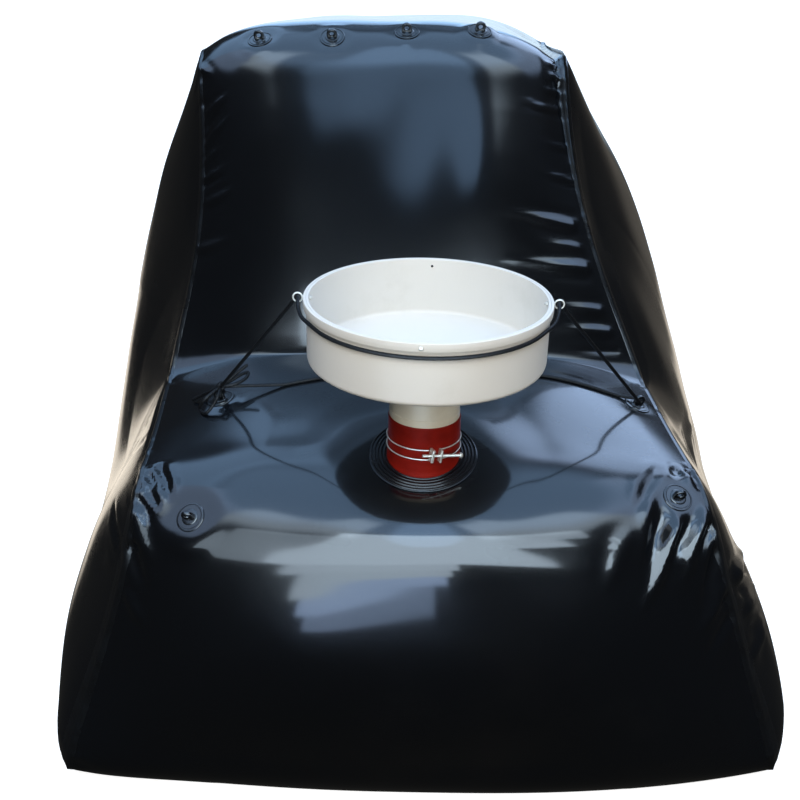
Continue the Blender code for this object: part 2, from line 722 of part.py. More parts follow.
def patch_mesh():
    """One lashing patch: a round disc with a step, and an upright eyelet on it."""
    disc = cylinder("patch_disc", PATCH_R, 0, PATCH_T, BAG_RUBBER, None, 24)
    step = cylinder("patch_step", PATCH_STEP_R, PATCH_ROOT, PATCH_STEP_T, BAG_RUBBER, None, 16)
    boolean(disc, step, "UNION")
    stem = box("patch_stem", (-EYELET_W / 2, -EYELET_T / 2, PATCH_ROOT),
               (EYELET_W / 2, EYELET_T / 2, EYELET_Z), BAG_RUBBER)
    across = Matrix.Translation((0, 0, EYELET_Z)) @ Matrix.Rotation(math.pi / 2, 4, "X")
    arch = cylinder("patch_arch", EYELET_W / 2, -EYELET_T / 2, EYELET_T / 2, BAG_RUBBER, None, 24)
    arch.matrix_world = across
    hole = cylinder("patch_hole", EYELET_HOLE_R, -EYELET_T, EYELET_T, BAG_RUBBER, None, 16)
    hole.matrix_world = across
    boolean(disc, stem, "UNION")
    boolean(disc, arch, "UNION")
    boolean(disc, hole)
    bpy.context.view_layer.update()
    evaluated = disc.evaluated_get(bpy.context.evaluated_depsgraph_get())
    data = bpy.data.meshes.new_from_object(evaluated)
    data.name = "lashing_patch"
    return data


def surface_trees(panels):
    """Search trees of the bag's panels, for seating things on them."""
    bpy.context.view_layer.update()
    graph = bpy.context.evaluated_depsgraph_get()
    return [BVHTree.FromObject(panel, graph) for panel in panels]


def nearest(trees, point):
    """The nearest place on the bag, with the way out of it."""
    found = [tree.find_nearest(Vector(point)) for tree in trees]
    return min(found, key=lambda hit: hit[3])[:2]


def seated_frame(trees, point, spin):
    """Where a flat disc sits on the bag near a point, clear of it by the seating gap."""
    place, normal = nearest(trees, point)
    x_axis = Vector((1, 0, 0))
    x_axis = (x_axis - normal * x_axis.dot(normal)).normalized()
    turn = Matrix((x_axis, normal.cross(x_axis), normal)).transposed().to_4x4()
    turn = turn @ Matrix.Rotation(math.radians(spin), 4, "Z")
    clear = []
    for ring in (0, 0.5, 1):
        for step in range(24):
            angle = math.tau * step / 24
            spot = Vector((math.cos(angle), math.sin(angle), 0)) * PATCH_R * ring
            start = place + turn.to_3x3() @ spot + normal * PATCH_LIFT
            for tree in trees:
                hit = tree.ray_cast(start, -normal, 0.2)
                if hit[0]:
                    clear.append(hit[3])
    return Matrix.Translation(place + normal * (PATCH_LIFT - min(clear) + SEAT_GAP)) @ turn


def make_patches(trees):
    """All lashing patches, seated on the bag."""
    shared = patch_mesh()
    frames = {}
    for name, (x, y, z, spin) in PATCHES.items():
        frames[name] = seated_frame(trees, (x, y, z), spin)
        add_object(name, shared, BAG_RUBBER).matrix_world = frames[name]
    return frames


def smooth_route(points, spacing):
    """Points read from a smooth curve through a route's own points."""
    points = [Vector(point) for point in points]
    ends = [points[0] * 2 - points[1]] + points + [points[-1] * 2 - points[-2]]
    fine = []
    for index in range(len(points) - 1):
        a, b, c, d = ends[index:index + 4]
        first = (c - a) * (c - b).length / ((b - a).length + (c - b).length)
        second = (d - b) * (c - b).length / ((d - c).length + (c - b).length)
        pieces = math.ceil((c - b).length / spacing)
        for step in range(pieces):
            t = step / pieces
            fine.append(b * (2 * t ** 3 - 3 * t ** 2 + 1) + first * (t ** 3 - 2 * t ** 2 + t)
                        + c * (3 * t ** 2 - 2 * t ** 3) + second * (t ** 3 - t ** 2))
    fine.append(points[-1])
    return fine


def through_eyelet(frame, angles):
    """Points of the cord's turn through a patch's eyelet."""
    points = []
    for degrees in angles:
        angle = math.radians(degrees)
        place = (TURN_OUT - TURN_R * math.cos(angle), TURN_R * math.sin(angle), EYELET_Z)
        points.append(frame @ Vector(place))
    return points


def over_seat(trees, start, end):
    """The cord's points where it lies across the crown of the seat, between two places."""
    points = []
    for step in range(1, REST_STEPS):
        place = start.lerp(end, step / REST_STEPS)
        hits = [tree.ray_cast(place + Vector((0, 0, 0.2)), Vector((0, 0, -1)), 0.4)[0] for tree in trees]
        top = max(hit.z for hit in hits if hit)
        points.append(Vector((place.x, place.y, top + CORD_R + CORD_REST)))
    return points


def under_rim(place):
    """The cord's points from the left eye round the front of the tray to the right eye."""
    wall = (TRAY_R + CORD_R + SEAT_GAP) / math.cos(math.radians(WRAP_STEP / 2))
    eye = TRAY_R + SEAT_GAP + BAND_T + SEAT_GAP + EYE_WIRE_R + EYE_R
    left = [(180, eye, EYE_Z + 0.0014), (186, eye - 0.001, EYE_Z - 0.004),
            (194, wall + 0.006, CORD_LOW + 0.002), (203, wall + 0.0004, CORD_LOW)]
    middle = [(WRAP_START + WRAP_STEP * step, wall, CORD_LOW) for step in range(WRAP_COUNT)]
    right = [(540 - degrees, radius, height) for degrees, radius, height in reversed(left)]
    points = []
    for degrees, radius, height in left + middle + right:
        angle = math.radians(degrees)
        points.append(place @ Vector((radius * math.cos(angle), radius * math.sin(angle), height)))
    return points


def make_cord(frames, stack, trees):
    """The stay cord: knot, left eye, round the tray's front, right eye and patch, over the seat, knot."""
    bpy.context.view_layer.update()
    knot = frames["stay_patch_left"] @ Vector((KNOT_OUT, 0, EYELET_Z + KNOT_UP))
    ring = under_rim(stack.matrix_world)
    turn = through_eyelet(frames["stay_patch_right"], (-70, -35, 0, 35, 70))
    if (turn[0] - ring[-1]).length > (turn[-1] - ring[-1]).length:
        turn.reverse()
    rest = over_seat(trees, turn[-1], knot)
    strand_up = (ring[0] - knot).normalized()
    out = knot + strand_up * (KNOT_R + 0.001)
    back = knot + (rest[-1] - knot).normalized() * (KNOT_R + 0.001)
    route = [out, knot.lerp(ring[0], 0.5), knot.lerp(ring[0], 0.9)] + ring
    route += [ring[-1].lerp(turn[0], share) for share in (0.1, 0.5, 0.93)]
    route += turn + rest + [back]
    tube("stay_cord", smooth_route(route, CORD_SPACING), CORD_R, CORD_BLACK)
    return knot, strand_up


def make_knot(frame, knot, strand_up):
    """The bow: a knot with its turn through the eyelet, two loops and a tail."""
    ball = cylinder("bow_knot", KNOT_R * 0.8, -KNOT_R, KNOT_R, CORD_BLACK, None, 10, False)
    ball.matrix_world = Matrix.Translation(knot) @ strand_up.to_track_quat("Z", "Y").to_matrix().to_4x4()
    middle = frame.inverted() @ knot
    parts = {"turn": [knot] + through_eyelet(frame, (-90, -60, -30, 0, 30, 60, 90)) + [knot]}
    for name, steps in (("first_loop", FIRST_LOOP), ("second_loop", SECOND_LOOP), ("tail", TAIL)):
        parts[name] = [frame @ (middle + Vector(step)) for step in steps]
    for name, points in parts.items():
        bar = tube_mesh("bow_" + name, smooth_route(points, 0.008), CORD_R * 0.98, CORD_BLACK)
        boolean(ball, bar, "UNION").use_self = True


def build():
    """Make the digester."""
    panels = make_wrap()
    sides = [make_side("left_side_panel", -1), make_side("right_side_panel", 1)]
    trees = surface_trees(panels[:5])
    make_seam("left_edge_seam", -1)
    make_seam("right_edge_seam", 1)
    neck = add_empty("neck", (0, NECK_Y, NECK_Z), Matrix.Rotation(NECK_TILT, 4, "X"))
    stack = add_empty("stack", (0, NECK_Y, NECK_Z), Matrix.Rotation(STACK_LEAN, 4, "Y"))
    make_flange(panels[1], neck)
    make_sleeve(neck, stack)
    tray, band = make_pipe_and_tray(stack)
    make_eye_hook("eye_hook_left", "hook_nut_left", -1, tray, band, stack)
    make_eye_hook("eye_hook_right", "hook_nut_right", 1, tray, band, stack)
    make_band_screw(stack)
    make_clamp(stack)
    frames = make_patches(trees)
    knot, strand_up = make_cord(frames, stack, trees)
    make_knot(frames["stay_patch_left"], knot, strand_up)
    for made in panels + sides:
        smooth(made)


build()
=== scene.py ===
"""The looks of a household bag digester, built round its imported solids.

Metres, +Z up, the front faces -Y. The bag is one welded skin of coated fabric that gas holds taut.
"""
import math
import random

import bmesh
import bpy
import numpy as np
from mathutils import Matrix, Vector
from mathutils.bvhtree import BVHTree


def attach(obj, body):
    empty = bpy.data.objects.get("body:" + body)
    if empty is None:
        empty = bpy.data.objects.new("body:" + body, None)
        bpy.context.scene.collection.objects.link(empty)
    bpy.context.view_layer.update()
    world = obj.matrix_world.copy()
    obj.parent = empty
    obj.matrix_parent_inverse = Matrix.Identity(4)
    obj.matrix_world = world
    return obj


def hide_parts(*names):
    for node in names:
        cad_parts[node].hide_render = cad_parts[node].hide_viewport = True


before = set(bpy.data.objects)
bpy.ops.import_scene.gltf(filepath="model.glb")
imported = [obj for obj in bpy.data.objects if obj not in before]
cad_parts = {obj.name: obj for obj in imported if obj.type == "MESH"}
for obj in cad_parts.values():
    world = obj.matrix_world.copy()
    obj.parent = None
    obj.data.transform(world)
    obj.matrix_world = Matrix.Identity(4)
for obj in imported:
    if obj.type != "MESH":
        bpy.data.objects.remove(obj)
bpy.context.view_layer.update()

# Camera: its place, how far it looks down and to the left, and its lens.
CAMERA_PLACE = (0.0, -2.474, 1.414)
CAMERA_DOWN = math.radians(25.265)
CAMERA_LEFT = math.radians(1.366)
PHOTO_SIZE = 800
FOCAL_PIXELS = 1100
SENSOR = 36

# Bag: the same driving dimensions as the part's own.
WELT_R = 0.0045
DEPTH = 2.06
FRONT_Y = -DEPTH / 2
FLOOR_Z = 0.001
# Each corner of the side outline: distance behind the front edge, height, rounding radius,
# half width between the two edge seams, sideways shift, crown over the seams before and after it,
# and how much further in the skin cuts across the corner.
CORNERS = [
    (0.000, WELT_R, 0.050, 0.617, 0.000, 0.030, 0.060, 0.000),
    (0.075, 0.522, 0.115, 0.474, 0.003, 0.122, 0.045, 0.040),
    (0.518, 0.540, 0.060, 0.463, -0.038, 0.078, 0.052, 0.000),
    (0.794, 1.113, 0.080, 0.361, -0.092, 0.058, 0.062, 0.014),
    (1.740, 1.010, 0.140, 0.380, -0.060, 0.070, 0.070, 0.000),
    (DEPTH, WELT_R, 0.050, 0.590, 0.000, 0.060, 0.020, 0.000),
]
# Each run from one corner to the next: extra crown in its middle, waist of its edges, and where
# in the rounding of its first corner it starts (0 to 1).
RUNS = [
    (0.066, 0.002, 0.5),
    (0.022, 0.012, 0.0),
    (0.006, 0.042, 0.5),
    (0.000, 0.010, 0.5),
    (0.050, 0.020, 0.5),
    (0.000, 0.000, 0.5),
]
ARC_STEPS = 4
STRAIGHT_STEP = 0.11
REFINE = 16
# How flat the crown is across the seat and, higher up, across the top.
CROWN_LEVELS = (0.60, 1.00)
CROWN_POWERS = (2.6, 4.2)
SIDE_CENTRE = (1.08, 0.43)
# How far gas blows each side out, how much more of it lies towards the rear, how steeply it rises
# from the seams, more so near the floor and less round the crease, and how much less there is on top.
SIDE_BULGE = {-1: 0.168, 1: 0.124}
BULGE_TILT = {-1: 0.23, 1: -0.015}
BULGE_POWER = {-1: 1.58, 1: 1.19}
TOP_TAPER = {-1: 0.32, 1: 0.15}
TAPER_LEVELS = (0.6, 1.1)
CREASE_POWER = -0.87
CREASE_REACH = 0.29
FLOOR_POWER = 1.38
FLOOR_REACH = 0.20

# Fineness of the fabric's mesh.
EVEN_STEP = 0.004
OUTLINE_BLUR = 0.012
WIDTH_BLUR = 0.045
FLOOR_STEP = 0.030
REAR_STEP = 0.012
BODY_STEP = 0.0068
COLUMNS = 121
SIDE_RINGS = 58

# Inlet: the same as the part's.
NECK_Y = FRONT_Y + 0.137
NECK_Z = 0.5705
NECK_TILT = math.radians(14)
STACK_LEAN = math.radians(1.2)
PIPE_R = 0.055
PIPE_WALL = 0.0032
FLANGE_R = 0.0885
FLANGE_T = 0.003
BORE_R = 0.0515
SLEEVE_WALL = 0.0028
SLEEVE_TOP = 0.075
PIPE_TOP = 0.172
RIM_TOP = 0.272
TRAY_R = 0.186
TRAY_WALL = 0.004
TRAY_FLOOR = 0.005
BAND_H = 0.014
BAND_T = 0.0045
GAP = 0.0003
BAND_IN = TRAY_R + GAP
BAND_OUT = BAND_IN + BAND_T
PIPE_FOOT = 0.022
COLLAR_T = 0.0016
COLLAR_H = 0.011
COLLAR_SLOPE = 0.004
RING_START = 0.0600
RING_STEP = 0.0057
RING_H = 0.0019

# Eye hooks, screws and clamp.
EYE_Z = RIM_TOP - BAND_H / 2
EYE_R = 0.0071
EYE_WIRE_R = 0.0014
SHANK_R = 0.0016
NUT_R = 0.0042
NUT_T = 0.0024
BAND_SCREW_R = 0.0034
BAND_SCREW_T = 0.0022
BAND_SCREW_ANGLE = math.radians(-93)
REAR_RIVET_ANGLE = math.radians(88)
REAR_RIVET_DOWN = 0.012
WIRE_R = 0.00115
CLAMP_Z = 0.030
CLAMP_SPREAD = 0.0083
CLAMP_ANGLE = math.radians(-66)
SCREW_LEAN = math.radians(-9)
BRIDGE_T = 0.003
BRIDGE_HALF_H = 0.0105
BLOCK_PAST_SCREW = 0.0026
NUT_BLOCK_Y = (-0.0165, -0.0125)
SCREW_R = 0.0024
SCREW_OUT = 0.0068
SCREW_Y = (-0.031, 0.034)
HEAD_R = 0.0046
HEAD_T = 0.004

# Lashing patches, welded edges and stay cord.
PATCH_R = 0.0245
PATCH_STEP_R = 0.013
PATCH_LIFT = 0.03
EYELET_W = 0.020
EYELET_H = 0.020
EYELET_T = 0.006
EYELET_HOLE_R = 0.0045
EYELET_Z = EYELET_H - EYELET_W / 2
WELD_CELLS = 2
WELD_RIB = 0.0075
CORD_R = 0.003
CORD_BELOW_BAND = 0.005
CORD_LOW = RIM_TOP - BAND_H - CORD_R - CORD_BELOW_BAND
TURN_R = 0.0075
TURN_OUT = 0.0068
KNOT_HALF = 0.0065
REAR_SWAY = 0.035
# The bow: where its knot shows in the photograph and how high it stands over the seat, and then
# the same for the points of its two loops and its two ends.
BOW_KNOT = (221, 386.5, 0.027)
BOW_STRANDS = [
    [(232, 380, 0.028), (242, 374, 0.030), (248, 372.5, 0.028), (246, 378, 0.025), (235, 384, 0.025)],
    [(218, 396, 0.023), (213, 405, 0.011), (206, 413, 0.005), (200, 409, 0.005), (205, 399, 0.014)],
    [(235, 374.5, 0.036), (247, 365, 0.044)],
    [(209, 392, 0.018), (193, 399.5, 0.005)],
]


def link(made):
    """Put an object in the scene."""
    bpy.context.scene.collection.objects.link(made)
    return made


def unit(vectors):
    """Vectors of length one."""
    return vectors / np.linalg.norm(vectors, axis=-1, keepdims=True)


def eased(share):
    """A share from 0 to 1 with a soft start and a soft end."""
    return share * share * (3 - 2 * share)


def polar(radius, angle, height=0.0):
    """A point at an angle round the Z axis."""
    return Vector((radius * math.cos(angle), radius * math.sin(angle), height))


def running(lengths):
    """The running total of lengths, from zero."""
    return np.concatenate([[0], np.cumsum(lengths)])


def moved(points, matrix):
    """Rows of points carried by a matrix."""
    matrix = np.array(matrix)
    return points @ matrix[:3, :3].T + matrix[:3, 3]


def piece(made, slot, *nodes):
    """Finish a piece: it rides on the root and stands for CAD nodes, which it hides; its slot is not used.
    """
    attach(made, "root")
    if nodes:
        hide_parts(*nodes)
    return made


# Camera

CAMERA_CLIP = (0.05, 100)


def make_camera():
    """The photograph's viewpoint."""
    data = bpy.data.cameras.new("camera")
    data.sensor_width = SENSOR
    data.lens = SENSOR * FOCAL_PIXELS / PHOTO_SIZE
    data.clip_start, data.clip_end = CAMERA_CLIP
    made = link(bpy.data.objects.new("camera", data))
    made.location = CAMERA_PLACE
    made.rotation_euler = (math.pi / 2 - CAMERA_DOWN, 0, CAMERA_LEFT)
    bpy.context.scene.camera = made
    bpy.context.view_layer.update()
    return made


CAMERA = make_camera()


def sight_line(pixel):
    """The camera's place, and the direction in which it sees one pixel of the photograph."""
    across = pixel[0] - PHOTO_SIZE / 2
    down = pixel[1] - PHOTO_SIZE / 2
    direction = CAMERA.matrix_world.to_3x3() @ Vector((across, -down, -FOCAL_PIXELS))
    return Vector(CAMERA_PLACE), direction.normalized()


# Materials

# The values of a noise between which each roughness wanders.
WANDER = (0.3, 0.7)
BAND_WOBBLE = 0.4
# Threads: bands of the weave to each metre, and of the cord's sheath, over ten pi.
WEAVE_SCALE = 190.0
SHEATH_SCALE = 90.0
# Which sockets of a mix node hold its two colours and their mix.
MIX_COLOURS = slice(6, 8)
MIX_RESULT = 2


class Nodes:
    """Short ways to build a node tree."""

    def __init__(self, tree):
        self.tree = tree

    def node(self, kind, **settings):
        """A new node with its settings and inputs by name."""
        made = self.tree.nodes.new(kind)
        for key, value in settings.items():
            if key in made.inputs:
                made.inputs[key].default_value = value
            else:
                setattr(made, key, value)
        return made

    def join(self, source, target):
        """Link two sockets."""
        self.tree.links.new(source, target)

    def arithmetic(self, operation, *sources):
        """One step of arithmetic on sockets or numbers."""
        made = self.node("ShaderNodeMath", operation=operation)
        for socket, source in zip(made.inputs, sources):
            if isinstance(source, (int, float)):
                socket.default_value = source
            else:
                self.join(source, socket)
        return made.outputs["Value"]

    def ramp(self, value, low, high, out_low=0, out_high=1, kind="LINEAR"):
        """A value carried from one range to another."""
        made = self.node("ShaderNodeMapRange", interpolation_type=kind)
        made.inputs["From Min"].default_value = low
        made.inputs["From Max"].default_value = high
        made.inputs["To Min"].default_value = out_low
        made.inputs["To Max"].default_value = out_high
        self.join(value, made.inputs["Value"])
        return made.outputs["Result"]


class Finish(Nodes):
    """A Principled material with ways to add relief, gloss and stains."""

    def __init__(self, name, colour, roughness, **sockets):
        self.material = bpy.data.materials.new(name)
        self.material.use_nodes = True
        super().__init__(self.material.node_tree)
        self.shader = self.tree.nodes["Principled BSDF"]
        self.shader.inputs["Base Color"].default_value = (*colour, 1)
        self.shader.inputs["Roughness"].default_value = roughness
        for socket, value in sockets.items():
            self.shader.inputs[socket.replace("_", " ")].default_value = value
        self.height = None

    def noise(self, scale, detail=2.0, rough=0.5, stretch=(1, 1, 1)):
        """A noise pattern's value, with about scale cells to a metre."""
        place = self.node("ShaderNodeTexCoord")
        mapped = self.node("ShaderNodeMapping", Scale=stretch)
        made = self.node("ShaderNodeTexNoise", Scale=scale, Detail=detail, Roughness=rough)
        self.join(place.outputs["Object"], mapped.inputs["Vector"])
        self.join(mapped.outputs["Vector"], made.inputs["Vector"])
        return made.outputs["Fac"]

    def bands(self, direction, scale, detail=2.0):
        """The value of slightly wavy bands across the UV map."""
        place = self.node("ShaderNodeTexCoord")
        made = self.node("ShaderNodeTexWave", wave_type="BANDS", bands_direction=direction,
                         Scale=scale, Distortion=BAND_WOBBLE, Detail=detail)
        self.join(place.outputs["UV"], made.inputs["Vector"])
        return made.outputs["Fac"]

    def bump(self, pattern, height, strength):
        """Add relief of a real height over what is there already."""
        made = self.node("ShaderNodeBump", Strength=strength, Distance=height)
        self.join(pattern, made.inputs["Height"])
        if self.height is not None:
            self.join(self.height, made.inputs["Normal"])
        self.height = made.outputs["Normal"]
        self.join(self.height, self.shader.inputs["Normal"])

    def grain(self, scale, height, strength, **pattern):
        """Relief from a noise."""
        self.bump(self.noise(scale, **pattern), height, strength)

    def gloss(self, low, high, scale, **pattern):
        """Roughness that wanders between two values."""
        wander = self.ramp(self.noise(scale, **pattern), *WANDER, low, high)
        self.join(wander, self.shader.inputs["Roughness"])

    def stains(self, clean, stained, scale, low=0, high=1, **pattern):
        """A base colour that turns to another where a noise runs from low to high."""
        made = self.node("ShaderNodeMix", data_type="RGBA")
        for socket, colour in zip(made.inputs[MIX_COLOURS], (clean, stained)):
            socket.default_value = (*colour, 1)
        self.join(self.ramp(self.noise(scale, **pattern), low, high), made.inputs["Factor"])
        self.join(made.outputs[MIX_RESULT], self.shader.inputs["Base Color"])


def fabric_finish():
    """Black coated fabric: a glossy skin with the weave's fine grain and faint dust."""
    made = Finish("fabric_black", (0.003, 0.0036, 0.0048), 0.24, IOR=1.3, Coat_Weight=1.0,
                  Coat_Roughness=0.10, Coat_IOR=1.7)
    made.grain(scale=11, height=0.006, strength=0.16)
    made.grain(scale=230, height=0.0004, strength=0.5, rough=0.6)
    threads = [made.bands(direction, WEAVE_SCALE, detail=1.0) for direction in ("X", "Y")]
    made.bump(made.arithmetic("MULTIPLY", *threads), height=0.00012, strength=0.45)
    made.gloss(0.23, 0.29, scale=6, detail=4, rough=0.6)
    made.stains((0.0020, 0.0026, 0.0038), (0.0038, 0.0042, 0.0052), 3.2, 0.55, 0.80, detail=5, rough=0.62)
    return made.material


def weld_finish():
    """The welded edge: the same fabric, a little duller, pressed in a fine pattern."""
    made = Finish("weld_black", (0.003, 0.0034, 0.0042), 0.3, IOR=1.55, Coat_Weight=0.7,
                  Coat_Roughness=0.14)
    made.grain(scale=160, height=0.0008, strength=0.5)
    made.gloss(0.24, 0.42, scale=25, detail=3)
    return made.material


def fitting_finish():
    """Moulded black rubber of the flange and the rear rivet."""
    made = Finish("fitting_black", (0.004, 0.004, 0.005), 0.24, IOR=1.5)
    made.grain(scale=420, height=0.0004, strength=0.35)
    made.gloss(0.18, 0.28, scale=40, detail=3)
    made.stains((0.0028, 0.0028, 0.0034), (0.0060, 0.0058, 0.0060), 22, 0.45, 0.75, detail=4)
    return made.material


def patch_finish():
    """The lashing patches' moulded face, as glossy as the fabric."""
    made = Finish("patch_black", (0.0025, 0.003, 0.004), 0.25, IOR=1.6, Coat_Weight=1.0,
                  Coat_Roughness=0.12)
    made.grain(scale=300, height=0.0004, strength=0.4)
    made.gloss(0.24, 0.36, scale=60, detail=3)
    return made.material


def tray_finish():
    """White moulded plastic with a faint satin grain and a few stains."""
    made = Finish("tray_white", (0.70, 0.69, 0.66), 0.36, IOR=1.4)
    made.grain(scale=260, height=0.0003, strength=0.35)
    made.grain(scale=7, height=0.002, strength=0.12)
    made.gloss(0.32, 0.46, scale=12, detail=3)
    made.stains((0.70, 0.69, 0.655), (0.62, 0.61, 0.565), 9, 0.55, 0.85, detail=5, rough=0.65)
    return made.material


def pipe_finish():
    """Cream pipe plastic with fine turning marks."""
    made = Finish("pipe_cream", (0.72, 0.69, 0.58), 0.34, IOR=1.5)
    made.grain(scale=30, height=0.0004, strength=0.3, stretch=(1, 1, 14))
    made.gloss(0.28, 0.42, scale=18, detail=3)
    made.stains((0.86, 0.82, 0.69), (0.66, 0.60, 0.47), 16, 0.45, 0.8, detail=4)
    return made.material


def sleeve_finish():
    """Red rubber sleeve, satin, with faint moulding lines."""
    made = Finish("sleeve_red", (0.26, 0.012, 0.006), 0.42, IOR=1.15)
    made.grain(scale=45, height=0.0009, strength=0.4, stretch=(1, 1, 5))
    made.gloss(0.30, 0.46, scale=30, detail=3)
    made.stains((0.24, 0.011, 0.006), (0.15, 0.007, 0.004), 26, 0.4, 0.75, detail=4)
    return made.material


def steel_finish():
    """Bright zinc-plated steel."""
    made = Finish("steel_bright", (0.72, 0.71, 0.67), 0.34, Metallic=0.6)
    made.grain(scale=500, height=0.0002, strength=0.3)
    made.gloss(0.28, 0.42, scale=90, detail=3)
    made.stains((0.76, 0.75, 0.70), (0.54, 0.51, 0.45), 70, 0.4, 0.8, detail=3)
    return made.material


def cord_finish():
    """The stay's black sheath."""
    made = Finish("cord_black", (0.0035, 0.0035, 0.004), 0.5, IOR=1.38)
    made.bump(made.bands("DIAGONAL", SHEATH_SCALE), height=0.0005, strength=0.6)
    made.gloss(0.42, 0.62, scale=120)
    return made.material


FABRIC = fabric_finish()
WELD = weld_finish()
FITTING = fitting_finish()
PATCH_BLACK = patch_finish()
TRAY_WHITE = tray_finish()
PIPE_CREAM = pipe_finish()
SLEEVE_RED = sleeve_finish()
STEEL = steel_finish()
CORD_BLACK = cord_finish()


# Mesh makers

def mesh_object(name, points, faces, finish, uv=None):
    """An object from points and faces, smooth shaded, with a UV place for each point if given."""
    data = bpy.data.meshes.new(name)
    data.from_pydata([tuple(point) for point in points], [], faces)
    data.materials.append(finish)
    data.shade_smooth()
    if uv is not None:
        layer = data.uv_layers.new(name="UVMap")
        corners = np.zeros(len(data.loops), np.int32)
        data.loops.foreach_get("vertex_index", corners)
        layer.data.foreach_set("uv", np.asarray(uv, np.float32)[corners].ravel())
    return link(bpy.data.objects.new(name, data))


def grid_faces(rows, columns, closed_rows=False, closed_columns=False, skip=()):
    """Quads of a grid of points counted row by row."""
    faces = []
    for row in range(rows if closed_rows else rows - 1):
        ahead = (row + 1) % rows
        for column in range(columns if closed_columns else columns - 1):
            beside = (column + 1) % columns
            face = (row * columns + column, row * columns + beside,
                    ahead * columns + beside, ahead * columns + column)
            if not skip or not any(corner in skip for corner in face):
                faces.append(face)
    return faces


# A rounding takes up at most this share of the way to the next corner.
ROUNDING_LIMIT = 0.45


def rounded_loop(corners, steps=5):
    """A closed profile from corners of radius, height and rounding."""
    made = []
    for index, (radius, height, rounding) in enumerate(corners):
        here = Vector((radius, height))
        back = Vector(corners[index - 1][:2]) - here
        ahead = Vector(corners[(index + 1) % len(corners)][:2]) - here
        reach = min(rounding, back.length * ROUNDING_LIMIT, ahead.length * ROUNDING_LIMIT)
        start = here + back.normalized() * reach
        end = here + ahead.normalized() * reach
        for step in range(steps + 1):
            share = step / steps
            made.append(start * (1 - share) ** 2 + here * 2 * share * (1 - share) + end * share ** 2)
    return made


# Edges sharper than these stay crisp, on turned pieces and on blocks.
SHARP_TURNED = math.radians(40)
SHARP_BLOCK = math.radians(50)
BEVEL_STEPS = 3
# A thread's fineness, and its root's radius and its ridge's height as shares of the bar's radius.
THREAD_SIDES = 18
THREAD_STEPS = 6
THREAD_ROOT = 0.90
THREAD_RIDGE = 0.14
BAR_SIDES = 12
BAR_DOME = 0.7


def faced_outward(made, skin=False):
    """Turn a piece's faces outward. A skin also loses its loose points, and its top face looks up."""
    bm = bmesh.new()
    bm.from_mesh(made.data)
    if skin:
        loose = [vertex for vertex in bm.verts if not vertex.link_faces]
        bmesh.ops.delete(bm, geom=loose, context="VERTS")
    bmesh.ops.recalc_face_normals(bm, faces=bm.faces[:])
    if skin and max(bm.faces, key=lambda face: face.calc_center_median().z).normal.z < 0:
        bmesh.ops.reverse_faces(bm, faces=bm.faces[:])
    bm.to_mesh(made.data)
    bm.free()
    return made


def from_bmesh(name, bm, finish):
    """An object from an edited mesh."""
    data = bpy.data.meshes.new(name)
    bm.to_mesh(data)
    bm.free()
    data.materials.append(finish)
    return link(bpy.data.objects.new(name, data))


def lathe(name, profile, finish, place, steps, closed=True):
    """A turned piece: a profile of radius and height run round the Z axis of a place."""
    rows = [place @ polar(radius, math.tau * step / steps, height)
            for step in range(steps) for radius, height in profile]
    made = mesh_object(name, rows, grid_faces(steps, len(profile), True, closed), finish)
    faced_outward(made)
    made.data.set_sharp_from_angle(angle=SHARP_TURNED)
    return made


def joined(name, parts):
    """One object from several, with the first one's finish."""
    bm = bmesh.new()
    for part in parts:
        bm.from_mesh(part.data)
    made = from_bmesh(name, bm, parts[0].data.materials[0])
    for part in parts:
        bpy.data.objects.remove(part, do_unlink=True)
    return made


def block(name, low, high, finish, place, edge, sides=0):
    """A box, or a prism of some sides along X, with rounded edges."""
    bm = bmesh.new()
    low = Vector(low)
    high = Vector(high)
    if sides:
        across = (high.y - low.y) / 2
        bmesh.ops.create_cone(bm, cap_ends=True, segments=sides, radius1=across, radius2=across,
                              depth=high.x - low.x, matrix=Matrix.Rotation(math.pi / 2, 4, "Y"))
    else:
        bmesh.ops.create_cube(bm, size=1)
        bmesh.ops.scale(bm, verts=bm.verts[:], vec=high - low)
    bmesh.ops.translate(bm, verts=bm.verts[:], vec=(high + low) / 2)
    bmesh.ops.bevel(bm, geom=bm.edges[:] + bm.verts[:], offset=edge, segments=BEVEL_STEPS, profile=0.5,
                    affect="EDGES")
    bmesh.ops.transform(bm, verts=bm.verts[:], matrix=place)
    made = from_bmesh(name, bm, finish)
    made.data.shade_smooth()
    made.data.set_sharp_from_angle(angle=SHARP_BLOCK)
    return made


def threaded(name, radius, low, high, pitch, finish, place):
    """A threaded bar along the X axis of a place."""
    rows = []
    count = round((high - low) / pitch * THREAD_STEPS)
    for row in range(count + 1):
        x = low + (high - low) * row / count
        for step in range(THREAD_SIDES):
            angle = math.tau * step / THREAD_SIDES
            turn = (row / THREAD_STEPS - step / THREAD_SIDES) % 1
            reach = radius * (THREAD_ROOT + THREAD_RIDGE * abs(2 * turn - 1))
            rows.append(place @ Vector((x, reach * math.cos(angle), reach * math.sin(angle))))
    faces = grid_faces(count + 1, THREAD_SIDES, False, True)
    faces.append(tuple(range(THREAD_SIDES))[::-1])
    faces.append(tuple(range(count * THREAD_SIDES, (count + 1) * THREAD_SIDES)))
    return mesh_object(name, rows, faces, finish)


def directions_along(points, closed):
    """The direction in which a path runs at each of its points."""
    count = len(points)
    found = []
    for index in range(count):
        ahead = points[(index + 1) % count] if closed else points[min(index + 1, count - 1)]
        behind = points[index - 1] if closed else points[max(index - 1, 0)]
        found.append((ahead - behind).normalized())
    return found


